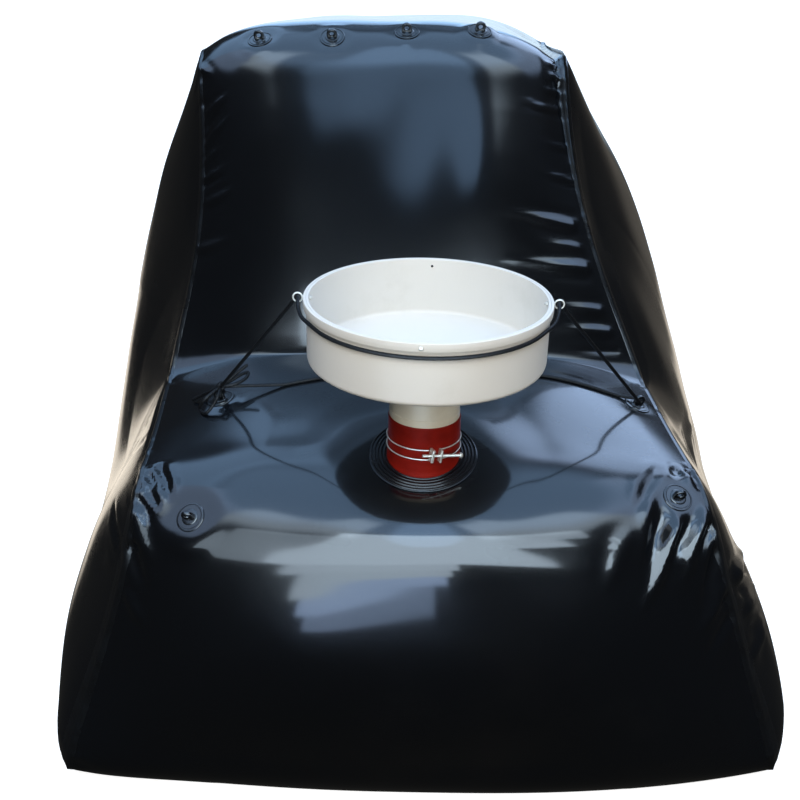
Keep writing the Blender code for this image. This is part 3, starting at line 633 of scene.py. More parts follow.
def sweep(name, path, radius, finish, closed=False):
    """A round bar along a path, with domed ends and a UV that runs along it."""
    points = [Vector(point) for point in path]
    tangents = directions_along(points, closed)
    side = tangents[0].orthogonal().normalized()
    rows = []
    uv = []
    along = 0.0
    for index, (point, tangent) in enumerate(zip(points, tangents)):
        side = (side - tangent * side.dot(tangent)).normalized()
        other = tangent.cross(side)
        if index:
            along += (point - points[index - 1]).length
        for step in range(BAR_SIDES):
            angle = math.tau * step / BAR_SIDES
            rows.append(point + (side * math.cos(angle) + other * math.sin(angle)) * radius)
            uv.append((along, step / BAR_SIDES * math.tau * radius))
    faces = grid_faces(len(points), BAR_SIDES, closed, True)
    last = (len(points) - 1) * BAR_SIDES
    ends = () if closed else ((points[0], -tangents[0], 0), (points[-1], tangents[-1], last))
    for end, outward, base in ends:
        cap = len(rows)
        rows.append(end + outward * radius * BAR_DOME)
        uv.append((0, 0))
        for step in range(BAR_SIDES):
            pair = (base + step, base + (step + 1) % BAR_SIDES)
            faces.append((cap, *pair) if base else (cap, pair[1], pair[0]))
    return mesh_object(name, rows, faces, finish, uv)


def smooth_route(points, spacing):
    """Points read from a smooth curve through a route's own points."""
    points = [Vector(point) for point in points]
    ends = [points[0] * 2 - points[1]] + points + [points[-1] * 2 - points[-2]]
    fine = []
    for index in range(len(points) - 1):
        a, b, c, d = ends[index:index + 4]
        first = (c - a) * (c - b).length / ((b - a).length + (c - b).length)
        second = (d - b) * (c - b).length / ((d - c).length + (c - b).length)
        pieces = math.ceil((c - b).length / spacing)
        for step in range(pieces):
            t = step / pieces
            fine.append(b * (2 * t ** 3 - 3 * t ** 2 + 1) + first * (t ** 3 - 2 * t ** 2 + t)
                        + c * (3 * t ** 2 - 2 * t ** 3) + second * (t ** 3 - t ** 2))
    fine.append(points[-1])
    return fine


# Bag outline

def corner_arc(index, steps):
    """The points that round one corner of the side outline."""
    before, here, after = (CORNERS[(index + step) % len(CORNERS)] for step in (-1, 0, 1))
    corner = Vector(here[:2])
    back = (Vector(before[:2]) - corner).normalized()
    ahead = (Vector(after[:2]) - corner).normalized()
    half = back.angle(ahead) / 2
    radius = here[2]
    centre = corner + (back + ahead).normalized() * radius / math.sin(half)
    first = corner + back * radius / math.tan(half) - centre
    last = corner + ahead * radius / math.tan(half) - centre
    sweep_angle = first.angle_signed(last)
    return [centre + Matrix.Rotation(-sweep_angle * step / steps, 2) @ first for step in range(steps + 1)]


def side_outline(refine):
    """Points of the outline, where each run starts and where each corner's rounding does."""
    steps = ARC_STEPS * refine
    arcs = [corner_arc(index, steps) for index in range(len(CORNERS))]
    points = []
    marks = []
    starts = []
    for index, arc in enumerate(arcs):
        starts.append(len(points))
        marks.append(len(points) + round(RUNS[index][2] * ARC_STEPS) * refine)
        points += arc
        ahead = arcs[(index + 1) % len(arcs)][0]
        pieces = max(1, round((ahead - arc[-1]).length / STRAIGHT_STEP)) * refine
        points += [arc[-1].lerp(ahead, step / pieces) for step in range(1, pieces)]
    return np.array([tuple(point) for point in points]), marks, starts


def lengths_ahead(points):
    """The distance from each point of a closed line to the next."""
    return np.linalg.norm(np.roll(points, -1, axis=0) - points, axis=1)


EVEN_PASSES = 2


def evened(values, points):
    """Round off the kinks of a value that changes along the closed outline."""
    ahead = lengths_ahead(points)
    behind = np.roll(ahead, 1)
    for _ in range(EVEN_PASSES):
        middle = (np.roll(values, 1) * ahead + np.roll(values, -1) * behind) / (ahead + behind)
        values = (values + middle) / 2
    return values


def between(lengths, first, last, start, end, extra):
    """Values that run from start to end between two places of a closed line, with a hump."""
    count = len(lengths)
    places = [(first + step) % count for step in range((last - first) % count + 1)]
    done = running(lengths[places[:-1]])
    shares = done / done[-1]
    return places, start + (end - start) * shares + extra * 4 * shares * (1 - shares)


def run_values(points, marks, arcs):
    """Half width, shift and crown at each coarse station."""
    lengths = lengths_ahead(points)
    table = np.zeros((len(points), 3))
    for run, (extra_crown, waist, _) in enumerate(RUNS):
        after = (run + 1) % len(RUNS)
        _, _, _, half, shift, crown_before, crown_after, cut = CORNERS[run]
        _, _, _, next_half, next_shift, next_crown, _, _ = CORNERS[after]
        straight = arcs[run] + ARC_STEPS
        stretches = [(0, marks[run], marks[after], half, next_half, -waist),
                     (1, marks[run], marks[after], shift, next_shift, 0),
                     (2, arcs[run], straight, crown_before, crown_after, -cut),
                     (2, straight, arcs[after], crown_after, next_crown, extra_crown)]
        for column, *stretch in stretches:
            places, values = between(lengths, *stretch)
            table[places, column] = values
    return np.stack([evened(table[:, column], points) for column in range(3)], axis=1)


def blurred(values, blur):
    """Closed columns of values rounded off over a length of the outline."""
    frequencies = np.fft.rfftfreq(len(values))
    fall = np.exp(-2 * (math.pi * frequencies * blur / EVEN_STEP) ** 2)
    return np.fft.irfft(np.fft.rfft(values, axis=0) * fall[:, None], n=len(values), axis=0)


def read_at(wanted, places, values):
    """Closed columns of values, known at places up to a full round, read at the wanted ones."""
    looped = np.concatenate([values, values[:1]])
    return np.stack([np.interp(wanted, places, column) for column in looped.T], axis=1)


# Below this height the outline lies on the floor, and past this distance it is the rear.
ON_FLOOR = 0.02
REAR_FROM = 1.75


def station_step(points):
    """How far apart the fabric's stations are at each point: fine where it shows, coarse below."""
    behind = np.where(points[:, 0] > REAR_FROM, REAR_STEP, BODY_STEP)
    return np.where(points[:, 1] < ON_FLOOR, FLOOR_STEP, behind)


def fine_stations():
    """The fabric's stations: outline point, outward direction, widths, place along, and the full round."""
    coarse, marks, arcs = side_outline(1)
    fine = side_outline(REFINE)[0]
    widths = run_values(coarse, marks, arcs)
    widths = read_at(np.arange(len(fine)) / REFINE, np.arange(len(widths) + 1), widths)
    lengths = running(lengths_ahead(fine))
    total = lengths[-1]
    count = round(total / EVEN_STEP)
    even = np.arange(count) / count * total
    outline = blurred(read_at(even, lengths, fine), OUTLINE_BLUR)
    widths = blurred(read_at(even, lengths, widths), WIDTH_BLUR)
    ahead = unit(np.roll(outline, -1, axis=0) - np.roll(outline, 1, axis=0))
    outward = np.stack([-ahead[:, 1], ahead[:, 0]], axis=1)
    steps = running(EVEN_STEP / station_step(outline))
    count = int(steps[-1])
    along = np.concatenate([even, [total]])
    places = np.interp(np.arange(count) / count * steps[-1], steps, along)
    outline, outward, widths = (read_at(places, along, part) for part in (outline, outward, widths))
    return outline, unit(outward), widths, places, total


OUTLINE, OUTWARD, WIDTHS, PLACES, ROUND = fine_stations()
STATIONS = len(OUTLINE)


def wrap_points(across):
    """Points of the wrap's surface, one row for each station; across runs from -1 to 1."""
    across = np.asarray(across)
    half, shift, crown = (WIDTHS[:, column:column + 1] for column in range(3))
    power = np.interp(OUTLINE[:, 1:], CROWN_LEVELS, CROWN_POWERS)
    rise = crown * (1 - np.abs(across) ** power)
    x = shift + across * half
    y = FRONT_Y + OUTLINE[:, :1] + OUTWARD[:, :1] * rise
    z = np.maximum(OUTLINE[:, 1:] + OUTWARD[:, 1:] * rise, FLOOR_Z)
    return np.stack([x, y, z], axis=2)


# How much closer the wrap's columns lie at its seams, and a side's rings, than in the middle.
COLUMN_CROWDING = 0.25
RING_CROWDING = 0.3
FIRST_RING = 0.02
SPREAD = np.linspace(-1, 1, COLUMNS)
ACROSS = SPREAD * (1 + COLUMN_CROWDING - COLUMN_CROWDING * SPREAD ** 2)
WRAP = wrap_points(ACROSS)
SEAMS = {-1: WRAP[:, 0].copy(), 1: WRAP[:, -1].copy()}


# Side panels: a smooth sheet over the seam's outline, which gas blows out in the middle.

# The sheet hangs on every third point of the seam. Two small numbers keep it clear of division by zero.
SEAM_KNOTS = 3
TINY = 1e-12
SMALL = 1e-9


def sheet_heights(points, seam):
    """For points of the side plane: the seam's x carried smoothly inward, and how far from the seam."""
    knots = seam[::SEAM_KNOTS]
    corners = knots[:, 1:]
    to_knots = corners[None] - points[:, None]
    ahead = np.roll(to_knots, -1, axis=1)
    reach = np.linalg.norm(to_knots, axis=2)
    reach_ahead = np.roll(reach, -1, axis=1)
    cross = to_knots[..., 0] * ahead[..., 1] - to_knots[..., 1] * ahead[..., 0]
    dot = (to_knots * ahead).sum(axis=2)
    angle = np.arctan2(cross, dot)
    half_tangent = cross / (reach * reach_ahead + dot + TINY)
    weights = (half_tangent + np.roll(half_tangent, 1, axis=1)) / (reach + SMALL)
    x = (weights * knots[:, 0]).sum(axis=1) / weights.sum(axis=1)
    edge = lengths_ahead(corners)
    nearness = (edge / (reach * reach_ahead * np.sinc(angle / math.pi) + TINY)).sum(axis=1)
    return x, math.pi / nearness


def side_sheet(side):
    """The points of one side panel, ring by ring from its centre out to the seam."""
    seam = SEAMS[side]
    centre = np.array([FRONT_Y + SIDE_CENTRE[0], SIDE_CENTRE[1]])
    share = np.linspace(FIRST_RING, 1, SIDE_RINGS)
    reaches = share * (1 + RING_CROWDING - RING_CROWDING * share)
    rings = np.zeros((SIDE_RINGS, STATIONS, 3))
    depth = np.zeros((SIDE_RINGS, STATIONS))
    for ring, reach in enumerate(reaches[:-1]):
        flat = centre + (seam[:, 1:] - centre) * reach
        x, depth[ring] = sheet_heights(flat, seam)
        rings[ring] = np.column_stack([x, flat])
    rings[-1] = seam
    behind_front = rings[..., 1] - FRONT_Y
    height = rings[..., 2]
    from_crease = np.hypot(behind_front - CORNERS[2][0], height - CORNERS[2][1])
    power = (BULGE_POWER[side] + CREASE_POWER * np.exp(-(from_crease / CREASE_REACH) ** 2)
             + FLOOR_POWER * np.exp(-(height / FLOOR_REACH) ** 2))
    fullness = 1 - (1 - depth / depth.max()) ** np.maximum(power, 1)
    tilt = 1 + BULGE_TILT[side] * (behind_front - SIDE_CENTRE[0])
    taper = 1 - TOP_TAPER[side] * np.interp(height, TAPER_LEVELS, (0, 1))
    rings[..., 0] += side * SIDE_BULGE[side] * tilt * taper * fullness
    return rings


def grid_normals(grid, closed_axis):
    """Outward unit normals of a grid that closes on itself along one axis."""
    if closed_axis == 0:
        along = np.roll(grid, -1, axis=0) - np.roll(grid, 1, axis=0)
        beside = np.gradient(grid, axis=1)
        return unit(np.cross(beside, along))
    along = np.roll(grid, -1, axis=1) - np.roll(grid, 1, axis=1)
    beside = np.gradient(grid, axis=0)
    return unit(np.cross(along, beside))


WRAP_NORMALS = grid_normals(WRAP, 0)
SIDES = {side: side_sheet(side) for side in (-1, 1)}
SIDE_NORMALS = {}
for side_sign, rings in SIDES.items():
    found = grid_normals(rings, 1)
    if found[SIDE_RINGS // 2, 0, 0] * side_sign < 0:
        found = -found
    SIDE_NORMALS[side_sign] = found


# Folds

# A fold across its line: the depth and the place of the shallow trough beside its crest, in heights and
# half widths, how wide it stays at its ends, and how far from its line it is felt.
TROUGH_DEPTH = 0.28
TROUGH_PLACE = 1.9
END_WIDTH = 0.55
FOLD_REACH = 3


def fold_push(points, line, half_width, height, lead, fade):
    """How far a fold along a line of points lifts each point of a skin."""
    push = np.zeros(len(points))
    low = line.min(axis=0) - FOLD_REACH * half_width
    high = line.max(axis=0) + FOLD_REACH * half_width
    near = np.flatnonzero(((points > low) & (points < high)).all(axis=1))
    if not len(near):
        return push
    part = points[near]
    lengths = np.linalg.norm(np.diff(line, axis=0), axis=1)
    starts = running(lengths)
    best = np.full(len(part), np.inf)
    share = np.zeros(len(part))
    for index, length in enumerate(lengths):
        along = (line[index + 1] - line[index]) / length
        offset = part - line[index]
        clipped = np.clip(offset @ along, 0, length)
        away = np.linalg.norm(offset - clipped[:, None] * along, axis=1)
        closer = away < best
        best[closer] = away[closer]
        share[closer] = ((starts[index] + clipped) / starts[-1])[closer]
    rise = np.clip(share / lead, 0, 1) if lead else np.ones(len(part))
    taper = eased(rise) * eased(np.clip((1 - share) / fade, 0, 1))
    away = best / (half_width * (END_WIDTH + (1 - END_WIDTH) * taper))
    crest = np.exp(-away ** 2) - TROUGH_DEPTH * np.exp(-(away - TROUGH_PLACE) ** 2)
    push[near] = height * taper * crest
    return push


# A place in the last column is read from just inside the cell before it.
LAST_CELL = 1.001


def on_grid(grid, station, column):
    """A point of a grid at places between its own, stations closing on themselves."""
    count = grid.shape[0]
    column = np.clip(column, 0, grid.shape[1] - LAST_CELL)
    row, across = int(math.floor(station)), int(column)
    a, b = station - row, column - across
    rows = [grid[(row + step) % count] for step in (0, 1)]
    cells = [r[across] * (1 - b) + r[across + 1] * b for r in rows]
    return cells[0] * (1 - a) + cells[1] * a


# Folds seen in the photograph, by the skin they are in: the pixels that each runs through, its half
# width and height in millimetres (a groove's is below zero), how soon it rises and how late it fades.
FOLDS = {
    "wrap": [
        # The right corner of the seat's front: pleats that fan down and left from the seam.
        (((664, 461), (654, 480), (642, 500), (636, 512)), 11, -7, 0.3, 0.4),
        (((677, 466), (666, 498), (658, 532), (647, 566), (636, 592)), 12, -13, 0.10, 0.5),
        (((683, 500), (672, 540), (658, 582), (634, 628)), 9, 9, 0.15, 0.5),
        (((693, 506), (687, 526), (679, 545), (664, 578)), 9, -10, 0.1, 0.5),
        (((707, 505), (699, 532), (691, 563), (681, 594)), 10, 8, 0.1, 0.5),
        (((715, 522), (702, 545), (690, 570)), 8, -8, 0.1, 0.5),
        (((724, 540), (712, 570), (700, 610)), 10, -7, 0.1, 0.6),
        (((640, 520), (622, 548), (611, 584), (603, 600)), 15, 4, 0.4, 0.5),
        (((728, 575), (712, 612), (692, 648)), 11, 6, 0.1, 0.6),
        (((733, 610), (716, 640), (700, 668)), 9, -5, 0.1, 0.6),
        (((700, 492), (694, 476), (684, 468)), 7, -6, 0.2, 0.4),
        # The left corner of the seat's front.
        (((158, 464), (164, 480), (171, 501)), 8, -9, 0.1, 0.5),
        (((147, 472), (154, 483), (162, 494)), 7, -9, 0.1, 0.5),
        (((146, 486), (152, 498), (160, 511)), 7, -8, 0.1, 0.5),
        (((138, 495), (146, 512), (152, 530)), 7, -6, 0.1, 0.5),
        (((131, 505), (140, 535), (158, 566)), 12, 6, 0.1, 0.6),
        (((128, 540), (138, 570), (150, 600)), 12, -5, 0.1, 0.6),
        (((126, 590), (136, 612), (150, 632)), 10, 4, 0.1, 0.6),
        # The backrest's right edge: creases that run in from the seam, almost level.
        (((566, 109), (545, 105), (515, 96)), 5, 3, 0.05, 0.7),
        (((566, 92), (553, 88), (540, 84)), 5, 3.5, 0.05, 0.6),
        (((571, 148), (558, 144), (540, 139)), 5, 2, 0.05, 0.6),
        (((577, 181), (561, 176), (538, 170)), 5, 2.4, 0.05, 0.6),
        (((579, 227), (548, 220), (490, 208)), 10, 4.6, 0.05, 0.8),
        (((584, 249), (560, 245), (528, 239)), 6, 2.6, 0.05, 0.7),
        (((592, 269), (560, 266), (490, 256)), 10, 4.6, 0.05, 0.8),
        (((605, 312), (583, 309), (540, 304)), 9, 4.0, 0.05, 0.8),
        (((614, 333), (590, 331), (540, 327)), 9, 4.2, 0.05, 0.8),
        (((622, 350), (600, 350), (560, 349)), 6, -2.5, 0.05, 0.7),
        # The backrest's top right corner: short crumples.
        (((572, 66), (560, 59), (546, 54)), 5, 4, 0.1, 0.5),
        (((574, 78), (562, 72), (550, 68)), 6, 5, 0.1, 0.5),
        (((572, 88), (563, 82), (556, 80)), 5, -4, 0.1, 0.5),
        # The backrest's top left corner: slanting creases.
        (((206, 115), (216, 104), (232, 92)), 5, 4, 0.1, 0.6),
        (((206, 130), (214, 118), (228, 106)), 5, -3.5, 0.1, 0.6),
        (((205, 148), (214, 133), (234, 112)), 5, 4, 0.1, 0.6),
        (((205, 165), (212, 155), (224, 146)), 5, 3.5, 0.1, 0.6),
        (((204, 181), (214, 174), (230, 164)), 5, 3.5, 0.1, 0.6),
        (((204, 188), (213, 181), (228, 174)), 5, -3, 0.1, 0.6),
        (((203, 205), (218, 198), (240, 186)), 7, 3, 0.1, 0.7),
        (((194, 250), (212, 246), (238, 236)), 8, 2.5, 0.1, 0.7),
    ],
    "left": [
        # The left side: long soft folds that slant down and forward from the seat's crease.
        (((152, 420), (138, 440), (124, 462)), 10, 1.6, 0.1, 0.6),
        (((148, 440), (134, 456), (120, 476)), 9, -1.6, 0.1, 0.6),
        (((116, 500), (117, 540), (122, 572)), 9, -7, 0.3, 0.4),
        (((108, 520), (110, 560), (118, 600)), 10, 5, 0.3, 0.5),
        (((120, 660), (110, 680), (98, 702)), 12, 5, 0.1, 0.6),
    ],
    "right": [
        # The right side: pleats that fan down from the corner.
        (((741, 545), (735, 575), (712, 612)), 11, 9, 0.1, 0.5),
        (((746, 560), (740, 590), (726, 630)), 9, -7, 0.1, 0.5),
        (((754, 580), (746, 610), (732, 648)), 9, 6, 0.1, 0.5),
        (((760, 600), (752, 630), (742, 664)), 8, -6, 0.1, 0.5),
        (((762, 625), (754, 655), (746, 690)), 9, 5, 0.1, 0.6),
        (((690, 420), (694, 450), (706, 478)), 14, 6, 0.2, 0.5),
    ],
}


def skin_tree(grid, closed_axis):
    """A search tree of one skin as it is before its folds."""
    rows, columns = grid.shape[:2]
    faces = grid_faces(rows, columns, closed_axis == 0, closed_axis == 1)
    return BVHTree.FromPolygons([tuple(point) for point in grid.reshape(-1, 3)], faces)


# Where a sight line that misses a skin is searched for the nearest place: metres from the camera.
LOOK_FROM = 1.2
LOOK_STEP = 0.03
LOOK_COUNT = 60


def skin_place(tree, pixel):
    """The place on a skin that shows at a pixel of the photograph, or the nearest one to it."""
    origin, direction = sight_line(pixel)
    hit = tree.ray_cast(origin, direction)[0]
    if hit is not None:
        return hit
    spots = [origin + direction * (LOOK_FROM + LOOK_STEP * step) for step in range(LOOK_COUNT)]
    return min((tree.find_nearest(spot) for spot in spots), key=lambda found: found[3])[0]


SKINS = {
    "wrap": (WRAP, WRAP_NORMALS, 0),
    "left": (SIDES[-1], SIDE_NORMALS[-1], 1),
    "right": (SIDES[1], SIDE_NORMALS[1], 1),
}


MM_IN_METRE = 1000


def no_pushes():
    """A push of nothing at each point of each skin."""
    return {name: np.zeros(grid.shape[0] * grid.shape[1]) for name, (grid, _, _) in SKINS.items()}


def photo_folds():
    """Push from the folds seen in the photograph, for each skin."""
    pushes = no_pushes()
    for name, folds in FOLDS.items():
        grid, _, axis = SKINS[name]
        tree = skin_tree(grid, axis)
        points = grid.reshape(-1, 3)
        for pixels, half_width, height, lead, fade in folds:
            line = np.array([skin_place(tree, pixel) for pixel in pixels])
            pushes[name] += fold_push(points, line, half_width / MM_IN_METRE, height / MM_IN_METRE,
                                      lead, fade)
    return pushes


# Puckers along the two seams: how thickly they come, how long and how deep they are, near places
# given by their distance behind the front edge and their height.
PUCKER_SPOTS = [
    ((0.075, 0.522), 0.20, 0.5),
    ((0.794, 1.105), 0.13, 0.7),
    ((0.518, 0.540), 0.10, 0.4),
    ((1.740, 1.010), 0.26, 0.9),
    ((0.000, 0.005), 0.20, 0.7),
    ((DEPTH, 0.005), 0.24, 0.7),
]
# How gathered the seams are elsewhere. Then the draws: their seed, how far apart puckers come, in
# steps, and how likely each one is, at no strength and what full strength adds.
PUCKER_LOW = 0.10
PUCKER_SEED = 7
PUCKER_STEP = 0.021
PUCKER_GAPS = (0.7, 2.6)
PUCKER_CHANCE = (0.35, 0.65)
# Length at no strength, what strength adds at most, and how seldom it adds that; then by what it is
# multiplied, and how far a pucker leans for its length.
PUCKER_LENGTH = 0.018
PUCKER_MORE_LENGTH = 0.085
PUCKER_LENGTH_POWER = 1.6
PUCKER_LENGTH_SPREAD = (0.7, 1.3)
PUCKER_LEAN = (-0.6, 0.6)
# Half width, and by what it is multiplied at no strength and what full strength adds; then the same
# for the height, of which two in three are grooves.
PUCKER_HALF_WIDTH = (0.0045, 0.0085)
PUCKER_WIDENING = (0.8, 0.6)
PUCKER_SIGNS = (-1, -1, 1)
PUCKER_HEIGHT = (0.0012, 0.0045)
PUCKER_LEAST_HEIGHT = 0.35
# Puckers start above this height. Shares of the length that a pucker's line runs through, and how late
# it fades.
PUCKER_ABOVE = 0.03
PUCKER_POINTS = (0.0, 0.35, 0.7, 1.0)
PUCKER_FADE = 0.85
# On a side panel the same puckers are shorter and lower. The cells are those of each skin's mesh.
SIDE_PUCKER_LENGTH = 0.8
SIDE_PUCKER_HEIGHT = 0.4
WRAP_CELL = 0.0072
SIDE_CELL = 0.009


def pucker_strength(point):
    """How gathered the seam is at a place of the side outline, from 0 to 1."""
    strength = PUCKER_LOW
    for spot, reach, full in PUCKER_SPOTS:
        away = math.hypot(point[0] - spot[0], point[1] - spot[1]) / reach
        strength = max(strength, full * math.exp(-away ** 2))
    return strength


def seam_puckers():
    """Push from the small gathers along both seams, for each skin."""
    pushes = no_pushes()
    draw = random.Random(PUCKER_SEED)
    for side, name in ((-1, "left"), (1, "right")):
        seam_column = 0 if side < 0 else COLUMNS - 1
        flank = SIDES[side].transpose(1, 0, 2)
        place = 0.0
        while place < ROUND:
            place += PUCKER_STEP * draw.uniform(*PUCKER_GAPS)
            station = float(np.interp(place % ROUND, PLACES, np.arange(STATIONS)))
            outline = OUTLINE[int(station)]
            strength = pucker_strength(outline)
            keep = draw.random() < PUCKER_CHANCE[0] + PUCKER_CHANCE[1] * strength
            length = PUCKER_LENGTH + PUCKER_MORE_LENGTH * strength * draw.random() ** PUCKER_LENGTH_POWER
            length *= draw.uniform(*PUCKER_LENGTH_SPREAD)
            slide = draw.uniform(*PUCKER_LEAN) * length / BODY_STEP
            half_width = draw.uniform(*PUCKER_HALF_WIDTH)
            half_width *= PUCKER_WIDENING[0] + PUCKER_WIDENING[1] * strength
            height = draw.choice(PUCKER_SIGNS) * draw.uniform(*PUCKER_HEIGHT)
            height *= PUCKER_LEAST_HEIGHT + strength
            if not keep or outline[1] < PUCKER_ABOVE:
                continue
            on_side = length * SIDE_PUCKER_LENGTH / SIDE_CELL
            for skin, grid, edge, cells, rise in (
                    ("wrap", WRAP, seam_column, -side * length / WRAP_CELL, height),
                    (name, flank, SIDE_RINGS - 1, -on_side, height * SIDE_PUCKER_HEIGHT)):
                line = np.array([on_grid(grid, station + slide * t, edge + cells * t)
                                 for t in PUCKER_POINTS])
                points = SKINS[skin][0].reshape(-1, 3)
                pushes[skin] += fold_push(points, line, half_width, rise, 0.0, PUCKER_FADE)
    return pushes


# Slow waves: how many there are, how long they run, and the height of one of the standard length.
WAVE_COUNT = 14
WAVE_LENGTHS = (0.16, 0.55)
WAVE_STANDARD = 0.4
WAVE_HEIGHT = 0.0011
WAVE_SEED = 3
# Over what share of a skin's width waves fade out at the seams, and over what heights at the floor.
SEAM_FADE = 0.12
FLOOR_FADE = (0.01, 0.08)
FOLD_FLOOR_FADE = (0.004, 0.03)


def slow_waves(points, seed):
    """Soft unevenness of taut fabric: a sum of long waves in random directions."""
    draw = np.random.RandomState(seed)
    push = np.zeros(len(points))
    for _ in range(WAVE_COUNT):
        direction = unit(draw.normal(size=3))
        wavelength = draw.uniform(*WAVE_LENGTHS)
        phase = draw.uniform(0, math.tau)
        height = WAVE_HEIGHT * (wavelength / WAVE_STANDARD)
        push += height * np.sin(points @ direction * math.tau / wavelength + phase)
    return push


def off_floor(heights, fade):
    """0 on the floor and 1 well over it; fade is where that starts and over how much it goes on."""
    return np.clip((heights - fade[0]) / fade[1], 0, 1)


def seam_hold(name):
    """Where waves may move a skin: nothing at its seams, and nothing on the floor."""
    grid, _, axis = SKINS[name]
    if axis == 0:
        inside = np.clip((1 - np.abs(ACROSS)) / SEAM_FADE, 0, 1)
    else:
        inside = np.clip(np.linspace(1, 0, grid.shape[0]) / SEAM_FADE, 0, 1)[:, None]
    return (inside * off_floor(grid[..., 2], FLOOR_FADE)).reshape(-1)


def folded_skins():
    """Each skin's points with all its folds, puckers and waves."""
    shown = photo_folds()
    gathered = seam_puckers()
    made = {}
    for seed, (name, (grid, normals, _)) in enumerate(SKINS.items(), WAVE_SEED):
        points = grid.reshape(-1, 3)
        folds = (shown[name] + gathered[name]) * off_floor(points[:, 2], FOLD_FLOOR_FADE)
        push = folds + slow_waves(points, seed) * seam_hold(name)
        made[name] = points + normals.reshape(-1, 3) * push[:, None]
        made[name][:, 2] = np.maximum(made[name][:, 2], FLOOR_Z)
    return made


# Places of the fittings

# Where each lashing patch lies: a point near it, and the turn of its eyelet about the surface.
PATCHES = {
    "top_lashing_patch_1": (-0.326, FRONT_Y + 0.784, 1.136, 0),
    "top_lashing_patch_2": (-0.184, FRONT_Y + 0.775, 1.141, 0),
    "top_lashing_patch_3": (-0.040, FRONT_Y + 0.790, 1.149, 0),
    "top_lashing_patch_4": (0.102, FRONT_Y + 0.803, 1.150, 0),
    "front_lashing_patch_left": (-0.371, FRONT_Y + 0.055, 0.496, 0),
    "front_lashing_patch_right": (0.411, FRONT_Y + 0.101, 0.517, 0),
    "stay_patch_left": (-0.364, FRONT_Y + 0.333, 0.572, -20),
    "stay_patch_right": (0.388, FRONT_Y + 0.372, 0.551, 200),
}
PANEL_NODES = ["front_panel", "seat_panel", "backrest_panel", "top_panel", "rear_panel"]


def node_trees(names):
    """Search trees of CAD nodes as packed."""
    trees = []
    for name in names:
        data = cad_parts[name].data
        points = [vertex.co.copy() for vertex in data.vertices]
        trees.append(BVHTree.FromPolygons(points, [list(face.vertices) for face in data.polygons]))
    return trees


SEAT_RINGS = (0, 0.5, 1)
SEAT_STEPS = 24
SEAT_LOOK = 0.2


def seated_frame(trees, point, spin):
    """Where a flat disc sits on the bag near a point, clear of it by the seating gap."""
    found = [tree.find_nearest(Vector(point)) for tree in trees]
    place, normal = min(found, key=lambda hit: hit[3])[:2]
    x_axis = Vector((1, 0, 0))
    x_axis = (x_axis - normal * x_axis.dot(normal)).normalized()
    turn = Matrix((x_axis, normal.cross(x_axis), normal)).transposed().to_4x4()
    turn = turn @ Matrix.Rotation(math.radians(spin), 4, "Z")
    clear = []
    for ring in SEAT_RINGS:
        for step in range(SEAT_STEPS):
            spot = polar(1, math.tau * step / SEAT_STEPS) * PATCH_R * ring
            start = place + turn.to_3x3() @ spot + normal * PATCH_LIFT
            hits = [tree.ray_cast(start, -normal, SEAT_LOOK) for tree in trees]
            clear += [hit[3] for hit in hits if hit[0]]
    return Matrix.Translation(place + normal * (PATCH_LIFT - min(clear) + GAP)) @ turn


def patch_frames():
    """Each lashing patch's place on the bag."""
    trees = node_trees(PANEL_NODES)
    return {name: seated_frame(trees, values[:3], values[3]) for name, values in PATCHES.items()}


NECK = Matrix.Translation((0, NECK_Y, NECK_Z)) @ Matrix.Rotation(NECK_TILT, 4, "X")
STACK = Matrix.Translation((0, NECK_Y, NECK_Z)) @ Matrix.Rotation(STACK_LEAN, 4, "Y")
PATCH_FRAMES = patch_frames()


def pressed_flat(points, place, inner, outer, level, reach, ahead=None):
    """Draw a skin to a flat fitting's underside, blending out into the skin's own shape.

    The blend ends at the outer radius, and towards the front at the one ahead, where that is given.
    """
    local = moved(points, place.inverted())
    radius = np.hypot(local[:, 0], local[:, 1])
    frontward = np.clip(-local[:, 1] / np.maximum(radius, SMALL), 0, 1)
    ends = outer + ((ahead or outer) - outer) * frontward
    near = (radius < ends) & (np.abs(local[:, 2]) < reach)
    share = eased(np.clip((ends[near] - radius[near]) / (ends[near] - inner), 0, 1))
    local[near, 2] = local[near, 2] * (1 - share) + level * share
    points[near] = moved(local[near], place)
    return points


# How the skin lies flat under the flange: its radii, its level under the flange's foot, and how far
# over and under that the skin is drawn to it. Then the same for the patches, in their radii.
MOUND_INNER = 0.093
MOUND_OUTER = 0.215
MOUND_AHEAD = 0.130
MOUND_LEVEL = -0.0012
MOUND_REACH = 0.08
PATCH_INNER = 1.02
PATCH_OUTER = 1.9
FRONT_PATCH_OUTER = 2.9
PATCH_LEVEL = -0.0002
PATCH_REACH = 0.03
# The skin is open in the bore: how much narrower, and how far over and under the flange's foot.
BORE_MARGIN = 0.006
BORE_REACH = 0.05
# Where gas fills the wrap more or less than its plain crown: the middle of each place, how far it
# reaches along each axis, and how much further out the skin lies there.
FILLS = [
    ((0.000, FRONT_Y - 0.018, 0.492), (0.190, 0.088, 0.088), 0.024),
    ((0.250, FRONT_Y + 1.000, 1.130), (0.120, 0.500, 0.300), -0.025),
]
# Where the slack corner at the front left lies on the ground, how far its pull reaches, and the pull.
SLACK_CORNER = (-0.617, FRONT_Y, 0.0)
SLACK_REACH = 0.18
SLACK_PULL = (0.0, -0.028, 0.0)


def slackened(points):
    """Points with the front left corner drawn a little forward along the ground."""
    away = np.linalg.norm(points - np.array(SLACK_CORNER), axis=1) / SLACK_REACH
    return points + np.exp(-away ** 2)[:, None] * np.array(SLACK_PULL)


